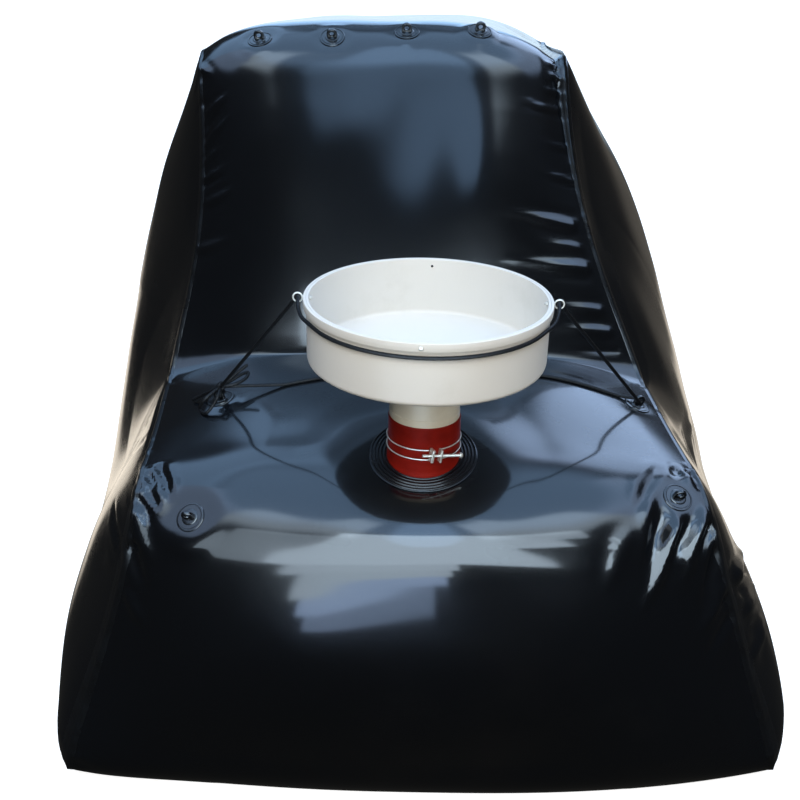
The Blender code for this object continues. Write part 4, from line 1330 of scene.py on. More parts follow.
def shaped_wrap(wrap):
    """The wrap with its fills, drawn flat under the flange and the patches."""
    for middle, reach, rise in FILLS:
        away = ((wrap - np.array(middle)) / np.array(reach)) ** 2
        wrap += WRAP_NORMALS.reshape(-1, 3) * (rise * np.exp(-away.sum(axis=1)))[:, None]
    wrap = pressed_flat(wrap, NECK, MOUND_INNER, MOUND_OUTER, MOUND_LEVEL, MOUND_REACH, MOUND_AHEAD)
    for name, place in PATCH_FRAMES.items():
        outer = PATCH_R * (FRONT_PATCH_OUTER if name.startswith("front") else PATCH_OUTER)
        wrap = pressed_flat(wrap, place, PATCH_R * PATCH_INNER, outer, PATCH_LEVEL, PATCH_REACH)
    return wrap


def bore_points(wrap):
    """The numbers of the wrap's points inside the inlet's bore."""
    local = moved(wrap, NECK.inverted())
    inside = np.hypot(local[:, 0], local[:, 1]) < BORE_R - BORE_MARGIN
    return set(np.flatnonzero(inside & (np.abs(local[:, 2]) < BORE_REACH)).tolist())


def make_bag():
    """The bag's three skins: the wrap from floor to floor, and its two sides."""
    skins = {name: slackened(points) for name, points in folded_skins().items()}
    wrap = shaped_wrap(skins["wrap"])
    faces = grid_faces(STATIONS, COLUMNS, True, False, bore_points(wrap))
    half = WIDTHS[:, :1] * ACROSS
    uv = np.stack([np.broadcast_to(PLACES[:, None], half.shape), half], axis=2).reshape(-1, 2)
    made = [faced_outward(mesh_object("bag_wrap", wrap, faces, FABRIC, uv), skin=True)]
    piece(made[0], "bag_fabric", *PANEL_NODES, "floor_panel")
    for side, name in ((-1, "left"), (1, "right")):
        points = skins[name]
        faces = grid_faces(SIDE_RINGS, STATIONS, False, True)
        faces.append(tuple(range(STATIONS)))
        skin = mesh_object(f"bag_{name}_side", points, faces, FABRIC, points[:, 1:])
        made.append(piece(faced_outward(skin, skin=True), "bag_fabric", f"{name}_side_panel"))
        make_weld(wrap, points, side, name)
    return made


# Welded edges: a strip pressed over each seam, from the wrap round to the side. How far each line of
# it stands over the skin, how much its pressed ribs add, and the gap between its lines on the UV map.
WELD_RISES = (-0.0008, 0.0002, 0.0006, 0.0008, 0.0016, 0.0008, 0.0006, 0.0002, -0.0008)
WELD_RIB_RISE = 0.6
WELD_UV_STEP = 0.002
WELD_FLOOR = FLOOR_Z - 0.0004


def make_weld(wrap, flank, side, name):
    """One welded edge, which follows the folded skins and stands a little over them."""
    wrap = wrap.reshape(STATIONS, COLUMNS, 3)
    flank = flank.reshape(SIDE_RINGS, STATIONS, 3)
    columns = (WELD_CELLS, 1, 0) if side < 0 else (COLUMNS - 1 - WELD_CELLS, COLUMNS - 2, COLUMNS - 1)
    rings = (-2, -1 - WELD_CELLS)
    lines = [wrap[:, column] for column in columns] + [flank[ring] for ring in rings]
    lines[2] = (lines[2] + flank[-1]) / 2
    out = [WRAP_NORMALS[:, column] for column in columns] + [SIDE_NORMALS[side][ring] for ring in rings]
    out[2] = unit(out[2] + SIDE_NORMALS[side][-1])
    ribs = 0.5 + 0.5 * np.cos(PLACES / WELD_RIB * math.tau)
    strength = np.array([pucker_strength(point) for point in OUTLINE])
    count = len(WELD_RISES)
    rows = np.zeros((STATIONS, count, 3))
    for index, rise in enumerate(WELD_RISES):
        low = min(index // 2, len(lines) - 2)
        share = index / 2 - low
        rib = 1 + WELD_RIB_RISE * strength * ribs * (0 < index < count - 1)
        rows[:, index] = (lines[low] * (1 - share) + lines[low + 1] * share
                          + (out[low] * (1 - share) + out[low + 1] * share) * (rise * rib)[:, None])
    rows[..., 2] = np.maximum(rows[..., 2], WELD_FLOOR)
    faces = grid_faces(STATIONS, count, True, False)
    uv = np.stack(np.broadcast_arrays(PLACES[:, None], np.arange(count) * WELD_UV_STEP), axis=2)
    made = mesh_object(f"weld_{name}", rows.reshape(-1, 3), faces, WELD, uv.reshape(-1, 2))
    return piece(faced_outward(made, skin=True), "bag_fabric", f"{name}_edge_seam")


BAG = make_bag()


# Inlet: flange, sleeve, pipe, tray and rim band

# The flange's rings: how fine their profile is, how sharply they stand, how many of its steps they take
# to rise and to fade, how much thinner the plate is at its edge, and that edge's width and height.
RING_PROFILE_STEPS = 96
RING_SHARPNESS = 0.7
RING_RISE_STEPS = 6
RING_FADE_STEPS = 3
FLANGE_THINNING = 0.5
FLANGE_EDGE_W = 0.0012
FLANGE_EDGE_H = 0.0006
# How many steps each turned piece takes round its axis.
FLANGE_ROUND = 160
PIPE_ROUND = 128
TRAY_ROUND = 192
PATCH_ROUND = 72
SCREW_ROUND = 32
RIVET_ROUND = 24


def make_flange():
    """The black flange with its fine rings."""
    profile = [(BORE_R, 0.0), (BORE_R, FLANGE_T)]
    for step in range(RING_PROFILE_STEPS + 1):
        share = step / RING_PROFILE_STEPS
        radius = RING_START + (FLANGE_R - FLANGE_EDGE_W - RING_START) * share
        wave = math.cos((radius - RING_START) / RING_STEP * math.tau)
        fade = min(1, step / RING_RISE_STEPS, (RING_PROFILE_STEPS - step) / RING_FADE_STEPS)
        ring = RING_H * fade * max(0, -wave) ** RING_SHARPNESS
        profile.append((radius, FLANGE_T * (1 - FLANGE_THINNING * share) + ring))
    profile += [(FLANGE_R, FLANGE_EDGE_H), (FLANGE_R, 0.0)]
    made = lathe("inlet_flange_skin", profile, FITTING, NECK, FLANGE_ROUND)
    return piece(made, "bag_fitting", "inlet_flange")


def foot_height(radius, angle):
    """The height on the stack's axis where an upright wall meets the flange's top."""
    to_neck = NECK.inverted() @ STACK
    spot = polar(radius, angle)
    low = (to_neck @ spot).z
    high = (to_neck @ (spot + Vector((0, 0, 1)))).z
    return (FLANGE_T + GAP - low) / (high - low)


# The sleeve's form: how fine it is, how far the clamp's wires nip it and over what height, how far it
# flares at its foot, how unevenly it stands out, and how its top edge and its inside are made.
SLEEVE_STEPS = 128
SLEEVE_LEVELS = 60
NIP_DEPTH = 0.0007
NIP_REACH = 0.0024
FLARE = 0.0016
FLARE_REACH = 0.006
UNEVEN = 0.0005
UNEVEN_LOBES = 3
UNEVEN_TURN = 40
TOP_ROUNDING = 0.0009
TOP_SHARE = 0.015
SLEEVE_INSIDE = 0.02


def make_sleeve():
    """The red sleeve: a soft tube that stands on the slanting flange and is nipped by the clamp."""
    inner = PIPE_R + GAP
    outer = inner + SLEEVE_WALL
    rows = []
    for step in range(SLEEVE_STEPS):
        angle = math.tau * step / SLEEVE_STEPS
        foot = foot_height(outer, angle)
        for level in range(SLEEVE_LEVELS + 1):
            share = level / SLEEVE_LEVELS
            height = foot + (SLEEVE_TOP - foot) * share
            nip = sum(math.exp(-((height - CLAMP_Z - spread) / NIP_REACH) ** 2)
                      for spread in (-CLAMP_SPREAD, CLAMP_SPREAD))
            flare = FLARE * math.exp(-((height - foot) / FLARE_REACH) ** 2)
            soft = UNEVEN * math.sin(UNEVEN_LOBES * angle + UNEVEN_TURN * height) * share
            top = TOP_ROUNDING * max(0, (share - (1 - TOP_SHARE)) / TOP_SHARE)
            rows.append(STACK @ polar(outer + flare + soft - NIP_DEPTH * nip - top, angle, height))
        rows += [STACK @ polar(inner, angle, height) for height in (SLEEVE_TOP, SLEEVE_TOP - SLEEVE_INSIDE)]
    faces = grid_faces(SLEEVE_STEPS, SLEEVE_LEVELS + 3, True, False)
    made = faced_outward(mesh_object("inlet_sleeve_skin", rows, faces, SLEEVE_RED), skin=True)
    made.data.set_sharp_from_angle(angle=SHARP_BLOCK)
    return piece(made, "sleeve_rubber", "inlet_sleeve")


# Profiles of the turned plastic pieces: radius, height and rounding of each corner.
BORE = PIPE_R - PIPE_WALL
COLLAR = PIPE_R + COLLAR_T
COLLAR_TOP = SLEEVE_TOP + COLLAR_H
PIPE_PROFILE = [
    (BORE, PIPE_FOOT, 0.0005), (PIPE_R, PIPE_FOOT, 0.0005), (PIPE_R, SLEEVE_TOP - COLLAR_SLOPE, 0.0004),
    (COLLAR, SLEEVE_TOP + 0.0004, 0.0006), (COLLAR, COLLAR_TOP, 0.0008),
    (PIPE_R, COLLAR_TOP + 0.001, 0.0006), (PIPE_R, PIPE_TOP, 0.0005), (BORE, PIPE_TOP, 0.0005),
]
TRAY_IN = TRAY_R - TRAY_WALL
TRAY_LOW = PIPE_TOP + GAP
TRAY_BASIN = TRAY_LOW + TRAY_FLOOR
TRAY_PROFILE = [
    (TRAY_IN, RIM_TOP, 0.0012), (TRAY_R, RIM_TOP, 0.0009), (TRAY_R, TRAY_LOW, 0.0085),
    (BORE, TRAY_LOW, 0.0008), (BORE, TRAY_BASIN, 0.0016), (TRAY_IN, TRAY_BASIN, 0.007),
]
TRAY_CORNER_STEPS = 7
BAND_PROFILE = [
    (BAND_IN, RIM_TOP - BAND_H, 0.0005), (BAND_OUT - 0.0006, RIM_TOP - BAND_H, 0.0012),
    (BAND_OUT, RIM_TOP - BAND_H * 0.5, 0.002), (BAND_OUT - 0.0002, RIM_TOP, 0.0016),
    (BAND_IN, RIM_TOP, 0.0005),
]


def make_pipe():
    """The cream pipe, with the collar of its lower socket just above the sleeve."""
    made = lathe("inlet_pipe_skin", rounded_loop(PIPE_PROFILE), PIPE_CREAM, STACK, PIPE_ROUND)
    return piece(made, "pipe_plastic", "inlet_pipe")


def make_tray():
    """The round tray with its drain."""
    profile = rounded_loop(TRAY_PROFILE, TRAY_CORNER_STEPS)
    made = lathe("tray_body_skin", profile, TRAY_WHITE, STACK, TRAY_ROUND)
    return piece(made, "tray_plastic", "tray_body")


def make_rim_band():
    """The band round the tray's rim, a little fuller in its middle."""
    made = lathe("tray_rim_band_skin", rounded_loop(BAND_PROFILE), TRAY_WHITE, STACK, TRAY_ROUND)
    return piece(made, "tray_plastic", "tray_rim_band")


# Steel parts

def eye_place(side):
    """A hook's place: its X axis points out from the tray."""
    turn = Matrix.Rotation(0 if side > 0 else math.pi, 4, "Z")
    return STACK @ Matrix.Translation((0, 0, EYE_Z)) @ turn


EYE_POINTS = 40
HOOK_PITCH = 0.0007
HOOK_EDGE = 0.0003
SHANK_PAST_NUT = 0.003
SHANK_PAST_BAND = 0.0012
COLLAR_R = 0.0031
COLLAR_OUT = 0.0013
COLLAR_SIDES = 24
HEX_SIDES = 6


def make_eye_hook(side):
    """A ring on a threaded shank with its collar outside, and its nut inside."""
    name = "left" if side < 0 else "right"
    place = eye_place(side)
    centre = BAND_OUT + GAP + EYE_WIRE_R + EYE_R
    angles = [math.tau * step / EYE_POINTS for step in range(EYE_POINTS)]
    circle = [place @ Vector((centre - EYE_R * math.cos(angle), 0, EYE_R * math.sin(angle)))
              for angle in angles]
    ring = sweep("ring", circle, EYE_WIRE_R, STEEL, closed=True)
    shank = threaded("shank", SHANK_R, TRAY_IN - NUT_T - SHANK_PAST_NUT, BAND_OUT + SHANK_PAST_BAND,
                     HOOK_PITCH, STEEL, place)
    collar = block("collar", (BAND_OUT + GAP, -COLLAR_R, -COLLAR_R),
                   (BAND_OUT + COLLAR_OUT, COLLAR_R, COLLAR_R), STEEL, place, HOOK_EDGE, COLLAR_SIDES)
    piece(joined(f"eye_hook_{name}_skin", [ring, shank, collar]), "steel", f"eye_hook_{name}")
    nut = block(f"hook_nut_{name}_skin", (TRAY_IN - GAP - NUT_T, -NUT_R, -NUT_R),
                (TRAY_IN - GAP, NUT_R, NUT_R), STEEL, place, HOOK_EDGE, HEX_SIDES)
    piece(nut, "steel", f"hook_nut_{name}")


# Domed heads, as radius and height: the screw's on the band, and the small dark rivet's.
SCREW_DOME = [(BAND_SCREW_R, 0.0), (BAND_SCREW_R, 0.0006), (BAND_SCREW_R * 0.85, 0.0014),
              (BAND_SCREW_R * 0.5, BAND_SCREW_T - GAP), (0.0002, BAND_SCREW_T)]
RIVET_DOME = [(0.0021, 0.0), (0.0021, 0.0003), (0.0015, 0.0009), (0.0002, 0.0011)]


def make_rim_screws():
    """The screw head on the band's front, and a small dark rivet on the wall behind."""
    front = (STACK @ Matrix.Translation((0, 0, EYE_Z)) @ Matrix.Rotation(BAND_SCREW_ANGLE, 4, "Z")
             @ Matrix.Translation((BAND_OUT + GAP, 0, 0)) @ Matrix.Rotation(math.pi / 2, 4, "Y"))
    head = lathe("band_screw_skin", SCREW_DOME, STEEL, front, SCREW_ROUND, closed=False)
    piece(head, "steel", "band_screw_front")
    back = (STACK @ Matrix.Rotation(REAR_RIVET_ANGLE, 4, "Z")
            @ Matrix.Translation((TRAY_IN, 0, RIM_TOP - REAR_RIVET_DOWN))
            @ Matrix.Rotation(-math.pi / 2, 4, "Y"))
    piece(lathe("rear_rivet", RIVET_DOME, FITTING, back, RIVET_ROUND, closed=False), "bag_fitting")


WIRE_POINTS = 121
PLATE_EDGE = 0.0007
HEAD_EDGE = 0.0005
CLAMP_PITCH = 0.0011
NUT_BLOCK_BEND = 0.55


def make_clamp_wires(place, seat):
    """The clamp's two wires, each from the bridge plate round the sleeve to the nut plate."""
    reach = seat + WIRE_R
    start = (BRIDGE_T / 2 + GAP) / reach
    end = math.tau + (NUT_BLOCK_Y[0] - GAP) / reach
    for name, level in (("upper", CLAMP_SPREAD), ("lower", -CLAMP_SPREAD)):
        angles = [start + (end - start) * step / (WIRE_POINTS - 1) for step in range(WIRE_POINTS)]
        points = [place @ polar(reach, angle, level) for angle in angles]
        wire = sweep(f"clamp_wire_{name}_skin", points, WIRE_R, STEEL)
        piece(wire, "steel", f"clamp_wire_{name}")


def make_clamp():
    """The double-wire clamp: two wires, a bridge plate, a nut plate and a long screw."""
    seat = PIPE_R + GAP + SLEEVE_WALL + GAP
    place = STACK @ Matrix.Translation((0, 0, CLAMP_Z)) @ Matrix.Rotation(CLAMP_ANGLE, 4, "Z")
    make_clamp_wires(place, seat)
    place = place @ Matrix.Rotation(SCREW_LEAN, 4, "X")
    bend = seat - math.sqrt(seat ** 2 - NUT_BLOCK_Y[0] ** 2)
    outer = seat + SCREW_OUT + SCREW_R + BLOCK_PAST_SCREW
    bridge = block("clamp_bridge_skin", (seat, -BRIDGE_T / 2, -BRIDGE_HALF_H),
                   (outer, BRIDGE_T / 2, BRIDGE_HALF_H), STEEL, place, PLATE_EDGE)
    piece(bridge, "steel", "clamp_bridge")
    nut = block("clamp_nut_skin", (seat - bend * NUT_BLOCK_BEND, NUT_BLOCK_Y[0], -BRIDGE_HALF_H),
                (outer, NUT_BLOCK_Y[1], BRIDGE_HALF_H), STEEL, place, PLATE_EDGE)
    piece(nut, "steel", "clamp_nut")
    along = place @ Matrix.Translation((seat + SCREW_OUT, 0, 0)) @ Matrix.Rotation(math.pi / 2, 4, "Z")
    shaft = threaded("shaft", SCREW_R, *SCREW_Y, CLAMP_PITCH, STEEL, along)
    head = block("head", (SCREW_Y[1] - HEAD_EDGE, -HEAD_R, -HEAD_R),
                 (SCREW_Y[1] + HEAD_T, HEAD_R, HEAD_R), STEEL, along, HEAD_EDGE, HEX_SIDES)
    piece(joined("clamp_screw_skin", [shaft, head]), "steel", "clamp_screw")


# Lashing patches

EYELET_STEPS = 56
EYELET_SOFT = 0.0011
EYELET_SOFTER = 0.3
EYELET_FOOT = 0.0012
# A patch's face, as radius and height: its rim, the groove inside it, and its raised middle.
PATCH_FACE = [
    (PATCH_R, 0.0), (PATCH_R, 0.0009), (PATCH_R - 0.0006, 0.0016), (PATCH_R - 0.0024, 0.0018),
    (PATCH_R - 0.0030, 0.0007), (PATCH_R - 0.0042, 0.0007), (PATCH_R - 0.0048, 0.0017),
    (PATCH_STEP_R + 0.0008, 0.0019), (PATCH_STEP_R, 0.0028), (PATCH_STEP_R - 0.0012, 0.0031),
    (0.0004, 0.0031),
]


def eyelet(place):
    """An upright block with an arched top and a round eye."""
    rows = []
    half = EYELET_T / 2
    soft = EYELET_SOFT
    softer = EYELET_SOFT * EYELET_SOFTER
    for step in range(EYELET_STEPS):
        angle = math.tau * (step + 0.5) / EYELET_STEPS
        across, up = math.cos(angle), math.sin(angle)
        outer = EYELET_W / 2
        if up < 0:
            outer = min(EYELET_W / 2 / max(abs(across), SMALL), (EYELET_Z - EYELET_FOOT) / -up)
        behind = [(EYELET_HOLE_R, half - soft), (EYELET_HOLE_R + soft, half), (outer - soft, half),
                  (outer - softer, half - softer), (outer, half - soft)]
        section = [(reach, -y) for reach, y in behind] + behind[::-1]
        rows += [place @ Vector((reach * across, y, EYELET_Z + reach * up)) for reach, y in section]
    return mesh_object("eyelet", rows, grid_faces(EYELET_STEPS, len(section), True, True), PATCH_BLACK)


def make_patch(name, place):
    """A round patch with a groove inside its edge, a raised middle and its eyelet."""
    disc = lathe("disc", PATCH_FACE, PATCH_BLACK, place, PATCH_ROUND, closed=False)
    made = faced_outward(joined(f"{name}_skin", [disc, eyelet(place)]), skin=True)
    return piece(made, "bag_fitting", name)


# Stay cord

# The cord's way: how it leaves each eye hook, as degrees round the tray, radius and height, and then
# over what angles it lies against the tray's wall.
WALL_REACH = TRAY_R + CORD_R + GAP
EYE_REACH = BAND_OUT + GAP + EYE_WIRE_R + EYE_R
FROM_EYE = [(180, EYE_REACH, EYE_Z + 0.0014), (186, EYE_REACH - 0.001, EYE_Z - 0.004),
            (194, WALL_REACH + 0.006, CORD_LOW + 0.002), (203, WALL_REACH + 0.0004, CORD_LOW)]
WALL_DEGREES = (213, 327)
WALL_POINTS = 41
RIGHT_TURN = (-70, -35, 0, 35, 70)
LEFT_TURN = range(-90, 91, 15)
# Shares of the way between the knot and the tray, and between the tray and the right patch.
TO_TRAY = (0.06, 0.5, 0.9)
TO_PATCH = (0.1, 0.5, 0.93)
SEAT_POINTS = 40
SEAT_HOVER = 0.2
SEAT_PRESS = 0.95
CORD_SPACING = 0.004
BOW_SPACING = 0.002
# The wraps round the knot: their turns, points and radius in cord radii.
WRAP_TURNS = 2.5
WRAP_POINTS = 49
WRAP_REACH = 1.7


def through_eyelet(place, angles):
    """Points of the cord's turn through a patch's eye."""
    points = []
    for degrees in angles:
        angle = math.radians(degrees)
        spot = (TURN_OUT - TURN_R * math.cos(angle), TURN_R * math.sin(angle), EYELET_Z)
        points.append(place @ Vector(spot))
    return points


def under_rim():
    """The cord's points from the left eye round the front of the tray to the right eye."""
    first, last = WALL_DEGREES
    middle = [(first + (last - first) * step / (WALL_POINTS - 1), WALL_REACH, CORD_LOW)
              for step in range(WALL_POINTS)]
    right = [(first + last - degrees, radius, height) for degrees, radius, height in reversed(FROM_EYE)]
    return [STACK @ polar(radius, math.radians(degrees), height)
            for degrees, radius, height in FROM_EYE + middle + right]


def over_seat(tree, start, end):
    """The cord's points where it lies across the crown of the seat."""
    points = []
    for step in range(1, SEAT_POINTS):
        place = start.lerp(end, step / SEAT_POINTS)
        place.y += REAR_SWAY * math.sin(math.pi * step / SEAT_POINTS)
        hit = tree.ray_cast(place + Vector((0, 0, SEAT_HOVER)), Vector((0, 0, -1)), 2 * SEAT_HOVER)[0]
        points.append(Vector((place.x, place.y, max(hit.z + CORD_R * SEAT_PRESS, place.z))))
    return points


def over_skin(tree, across, down, height):
    """The place that shows at a pixel of the photograph, at a height over the skin."""
    origin, direction = sight_line((across, down))
    hit, normal, _, _ = tree.ray_cast(origin, direction)
    return hit - direction * (height / -direction.dot(normal))


def cord_bar(name, route, spacing=BOW_SPACING):
    """A length of cord along a smooth route."""
    return sweep(name, smooth_route(route, spacing), CORD_R, CORD_BLACK)


def knot_wraps(knot, towards):
    """The turns of cord round the knot."""
    axis = (towards - knot).normalized()
    side = axis.orthogonal().normalized()
    other = axis.cross(side)
    points = []
    for step in range(WRAP_POINTS):
        share = step / (WRAP_POINTS - 1)
        angle = math.tau * WRAP_TURNS * share
        around = (side * math.cos(angle) + other * math.sin(angle)) * CORD_R * WRAP_REACH
        points.append(knot + axis * (KNOT_HALF * (2 * share - 1)) + around)
    return sweep("bow_wraps", points, CORD_R, CORD_BLACK)


def make_cord(skin):
    """The stay cord and its bow, from the left patch round the tray and back over the seat."""
    tree = BVHTree.FromPolygons([vertex.co for vertex in skin.data.vertices],
                                [tuple(face.vertices) for face in skin.data.polygons])
    knot = over_skin(tree, *BOW_KNOT)
    ring = under_rim()
    turn = through_eyelet(PATCH_FRAMES["stay_patch_right"], RIGHT_TURN)
    if (turn[0] - ring[-1]).length > (turn[-1] - ring[-1]).length:
        turn.reverse()
    route = [knot] + [knot.lerp(ring[0], share) for share in TO_TRAY] + ring
    route += [ring[-1].lerp(turn[0], share) for share in TO_PATCH] + turn
    route += over_seat(tree, turn[-1], knot) + [knot]
    piece(cord_bar("stay_cord_skin", route, CORD_SPACING), "cord", "stay_cord")
    left_turn = through_eyelet(PATCH_FRAMES["stay_patch_left"], LEFT_TURN)
    parts = [cord_bar("bow_turn", [knot] + left_turn + [knot])]
    for strand in BOW_STRANDS:
        points = [knot] + [over_skin(tree, *spot) for spot in strand]
        if len(strand) > 2:
            points.append(knot)
        parts.append(cord_bar("bow_strand", points))
    parts.append(knot_wraps(knot, ring[0]))
    piece(joined("bow_knot_skin", parts), "cord", "bow_knot")


def make_fittings():
    """Everything that is fixed on the bag."""
    for make in (make_flange, make_sleeve, make_pipe, make_tray, make_rim_band):
        make()
    for side in (-1, 1):
        make_eye_hook(side)
    make_rim_screws()
    make_clamp()
    for name, place in PATCH_FRAMES.items():
        make_patch(name, place)
    make_cord(BAG[0])


make_fittings()


# Floor, sky and light

FLOOR_HALF = 60
FLOOR_GREY = (0.6, 0.6, 0.6)
FLOOR_DARKER = (0.58, 0.58, 0.58)
FLOOR_LIGHTER = (0.62, 0.62, 0.62)
FLOOR_CLOUDS = 0.6
FLOOR_ROUGHNESS = 0.9
FLOOR_GLOW = 0.86


def make_floor():
    """A plain pale floor that reflections don't show."""
    bm = bmesh.new()
    bmesh.ops.create_grid(bm, x_segments=1, y_segments=1, size=FLOOR_HALF)
    finish = Finish("floor_pale", FLOOR_GREY, FLOOR_ROUGHNESS, Emission_Strength=FLOOR_GLOW)
    finish.shader.inputs["Emission Color"].default_value = (1, 1, 1, 1)
    finish.stains(FLOOR_DARKER, FLOOR_LIGHTER, FLOOR_CLOUDS)
    made = from_bmesh("floor", bm, finish.material)
    made.visible_glossy = False
    made.visible_diffuse = False


SKY_BLUE = (0.60, 1.0, 1.6)
COOL_WHITE = (0.80, 1.0, 1.18)
WARM_WHITE = (1.12, 1.0, 0.84)
CLEAR_BLUE = (0.72, 1.0, 1.50)
# Between these angles up, in degrees, the sky turns bright.
SKY_LOW = 49
SKY_HIGH = 65
SKY_STRENGTH = 1.0
# Bright areas far behind the bag that its skin mirrors: whether each is in front or at the back, from
# where to where it runs across (to the right is above 0) and up, how soft its edges are, its colour
# and its strength. All angles are in degrees.
BRIGHT_AREAS = [
    ("front", -60, -32, 47, 74, 6, COOL_WHITE, 1.9),
    ("front", -105, -60, 38, 60, 5, CLEAR_BLUE, 0.9),
    ("front", 32, 68, 48, 74, 6, COOL_WHITE, 2.0),
    ("front", 68, 136, 42, 60, 6, CLEAR_BLUE, 1.2),
    ("back", 14, 44, 18, 50, 6, CLEAR_BLUE, 2.1),
    ("back", -75, -15, 35, 57, 4, SKY_BLUE, 1.0),
    ("back", -15, 14, 36, 52, 5, SKY_BLUE, 0.25),
    ("back", -14, 12, 6, 30, 4, SKY_BLUE, 1.2),
    ("back", -14, 12, -10, 6, 4, COOL_WHITE, 1.0),
    ("back", -36, -20, -28, -15, 4, WARM_WHITE, 1.0),
    ("back", 15, 40, -28, -4, 5, WARM_WHITE, 0.08),
    ("back", 15, 27, -30, -17, 4, WARM_WHITE, 0.65),
]
# A wedge of sky between dark trees in front, which the backrest mirrors: its middle, from where to
# where it runs up, its half width at either end, how soft its edges and its tip are, and its strength.
WEDGE_MIDDLE = 3
WEDGE_UP = (37, 52)
WEDGE_HALF = (2, 17)
WEDGE_EDGE = 3.5
WEDGE_RISE = 7
WEDGE_STRENGTH = 0.95
GROUND = (0.020, 0.020, 0.019)
BACKDROP = (0.93, 0.93, 0.93)


class Sky(Nodes):
    """The surroundings' light, added up area by area."""

    def __init__(self, tree):
        super().__init__(tree)
        self.total = None
        axes = self.node("ShaderNodeSeparateXYZ")
        self.join(self.node("ShaderNodeTexCoord").outputs["Generated"], axes.inputs[0])
        x, y, z = axes.outputs
        self.up = self.degrees("ARCSINE", z)
        self.across = {"front": self.degrees("ARCTAN2", x, self.arithmetic("MULTIPLY", y, -1)),
                       "back": self.degrees("ARCTAN2", x, y)}

    def degrees(self, operation, *sources):
        """An angle in degrees, worked out from sockets."""
        return self.arithmetic("DEGREES", self.arithmetic(operation, *sources))

    def soft(self, source, low, high):
        """A smooth rise from 0 to 1 between two values."""
        return self.ramp(source, low, high, kind="SMOOTHERSTEP")

    def within(self, source, low, high, edge):
        """1 between two angles and 0 outside them, with soft edges."""
        rise = self.soft(source, low - edge, low + edge)
        return self.arithmetic("SUBTRACT", rise, self.soft(source, high - edge, high + edge))

    def add(self, colour, strength, *shares):
        """Add light of a colour, scaled by a strength and by the product of shares."""
        for share in shares:
            strength = self.arithmetic("MULTIPLY", share, strength)
        light = self.node("ShaderNodeVectorMath", operation="SCALE")
        light.inputs[0].default_value = colour
        if shares:
            self.join(strength, light.inputs["Scale"])
        else:
            light.inputs["Scale"].default_value = strength
        if self.total is not None:
            both = self.node("ShaderNodeVectorMath", operation="ADD")
            self.join(self.total, both.inputs[0])
            self.join(light.outputs["Vector"], both.inputs[1])
            light = both
        self.total = light.outputs["Vector"]

    def wedge(self):
        """The share of the wedge of sky, which narrows from its top down to its tip."""
        half = self.ramp(self.up, *WEDGE_UP, *WEDGE_HALF)
        off_middle = self.arithmetic("SUBTRACT", self.across["front"], WEDGE_MIDDLE)
        inside = self.arithmetic("SUBTRACT", half, self.arithmetic("ABSOLUTE", off_middle))
        return self.arithmetic("MULTIPLY", self.soft(inside, -WEDGE_EDGE, WEDGE_EDGE),
                               self.soft(self.up, WEDGE_UP[0], WEDGE_UP[0] + WEDGE_RISE))


def make_sky():
    """The surroundings: a blue sky, bright areas lower down and dark ground between them."""
    world = bpy.data.worlds.new("studio")
    bpy.context.scene.world = world
    world.use_nodes = True
    sky = Sky(world.node_tree)
    sky.add(SKY_BLUE, SKY_STRENGTH, sky.soft(sky.up, SKY_LOW, SKY_HIGH))
    for facing, left, right, low, high, edge, colour, strength in BRIGHT_AREAS:
        sky.add(colour, strength, sky.within(sky.across[facing], left, right, edge),
                sky.within(sky.up, low, high, edge))
    sky.add(SKY_BLUE, WEDGE_STRENGTH, sky.wedge())
    sky.add(GROUND, 1.0)
    surroundings = sky.tree.nodes["Background"]
    sky.join(sky.total, surroundings.inputs["Color"])
    backdrop = sky.node("ShaderNodeBackground", Color=(*BACKDROP, 1))
    seen = sky.node("ShaderNodeLightPath").outputs["Is Camera Ray"]
    mix = sky.node("ShaderNodeMixShader")
    for source, socket in zip((seen, surroundings.outputs[0], backdrop.outputs[0]), mix.inputs):
        sky.join(source, socket)
    sky.join(mix.outputs[0], sky.tree.nodes["World Output"].inputs["Surface"])


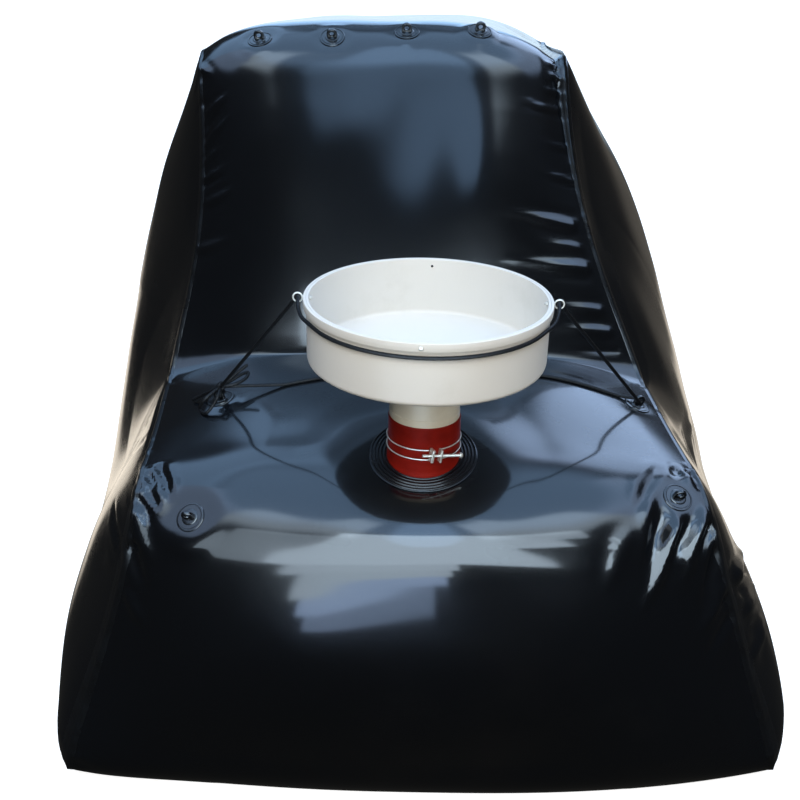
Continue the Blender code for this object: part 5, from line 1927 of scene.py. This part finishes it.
# Soft lights for the plain surfaces, which reflections don't show: place, what each points at, size,
# power and colour.
SOFT_LIGHTS = [
    ("key", (-0.9, -3.4, 3.6), (0, -0.8, 0.8), 2.6, 120, (1.0, 0.94, 0.84)),
    ("fill", (2.6, -2.0, 2.4), (0, -0.7, 0.8), 2.2, 28, (1.0, 0.95, 0.88)),
    ("low", (0.5, -3.3, 0.9), (0, -0.8, 0.7), 1.2, 16, (1.0, 0.95, 0.86)),
]
# Soft boxes close to the front, which only the glossy skin mirrors: from where to where each runs
# across and up, its brightness and its colour.
BOX_Y = -1.50
SOFT_BOXES = [
    ("wide", -0.52, 0.46, 0.57, 1.28, 4.4, COOL_WHITE),
    ("upper_right", 0.46, 0.57, 0.86, 1.28, 4.0, COOL_WHITE),
    ("low", -0.48, 0.14, 0.50, 0.57, 3.7, COOL_WHITE),
    ("lower", -0.44, 0.11, 0.44, 0.50, 3.5, COOL_WHITE),
    ("lower_blue", -0.41, 0.09, 0.39, 0.44, 2.9, CLEAR_BLUE),
    ("lowest_blue", -0.38, 0.05, 0.34, 0.39, 1.5, CLEAR_BLUE),
    ("left_wing", -0.78, -0.52, 0.56, 1.15, 1.7, COOL_WHITE),
    ("right_wing", 0.57, 0.72, 1.04, 1.32, 2.6, COOL_WHITE),
]


def area_light(name, place, target, size, power, colour):
    """A rectangular light that points at a target."""
    data = bpy.data.lights.new(name, "AREA")
    data.shape = "RECTANGLE"
    data.size, data.size_y = size
    data.energy = power
    data.color = [channel / max(colour) for channel in colour]
    made = link(bpy.data.objects.new(name, data))
    made.location = place
    made.rotation_euler = (Vector(target) - Vector(place)).to_track_quat("-Z", "Z").to_euler()
    made.visible_camera = False
    return made


def make_lights():
    """The soft lights and the soft boxes."""
    for name, place, target, size, power, colour in SOFT_LIGHTS:
        area_light(name, place, target, (size, size), power, colour).visible_glossy = False
    for name, left, right, low, high, strength, colour in SOFT_BOXES:
        size = (right - left, high - low)
        place = ((left + right) / 2, BOX_Y, (low + high) / 2)
        power = strength * max(colour) * math.pi * size[0] * size[1]
        box = area_light(name, place, (place[0], 0, place[2]), size, power, colour)
        box.visible_diffuse = False


make_floor()
make_sky()
make_lights()
bpy.context.scene.view_settings.view_transform = "Standard"
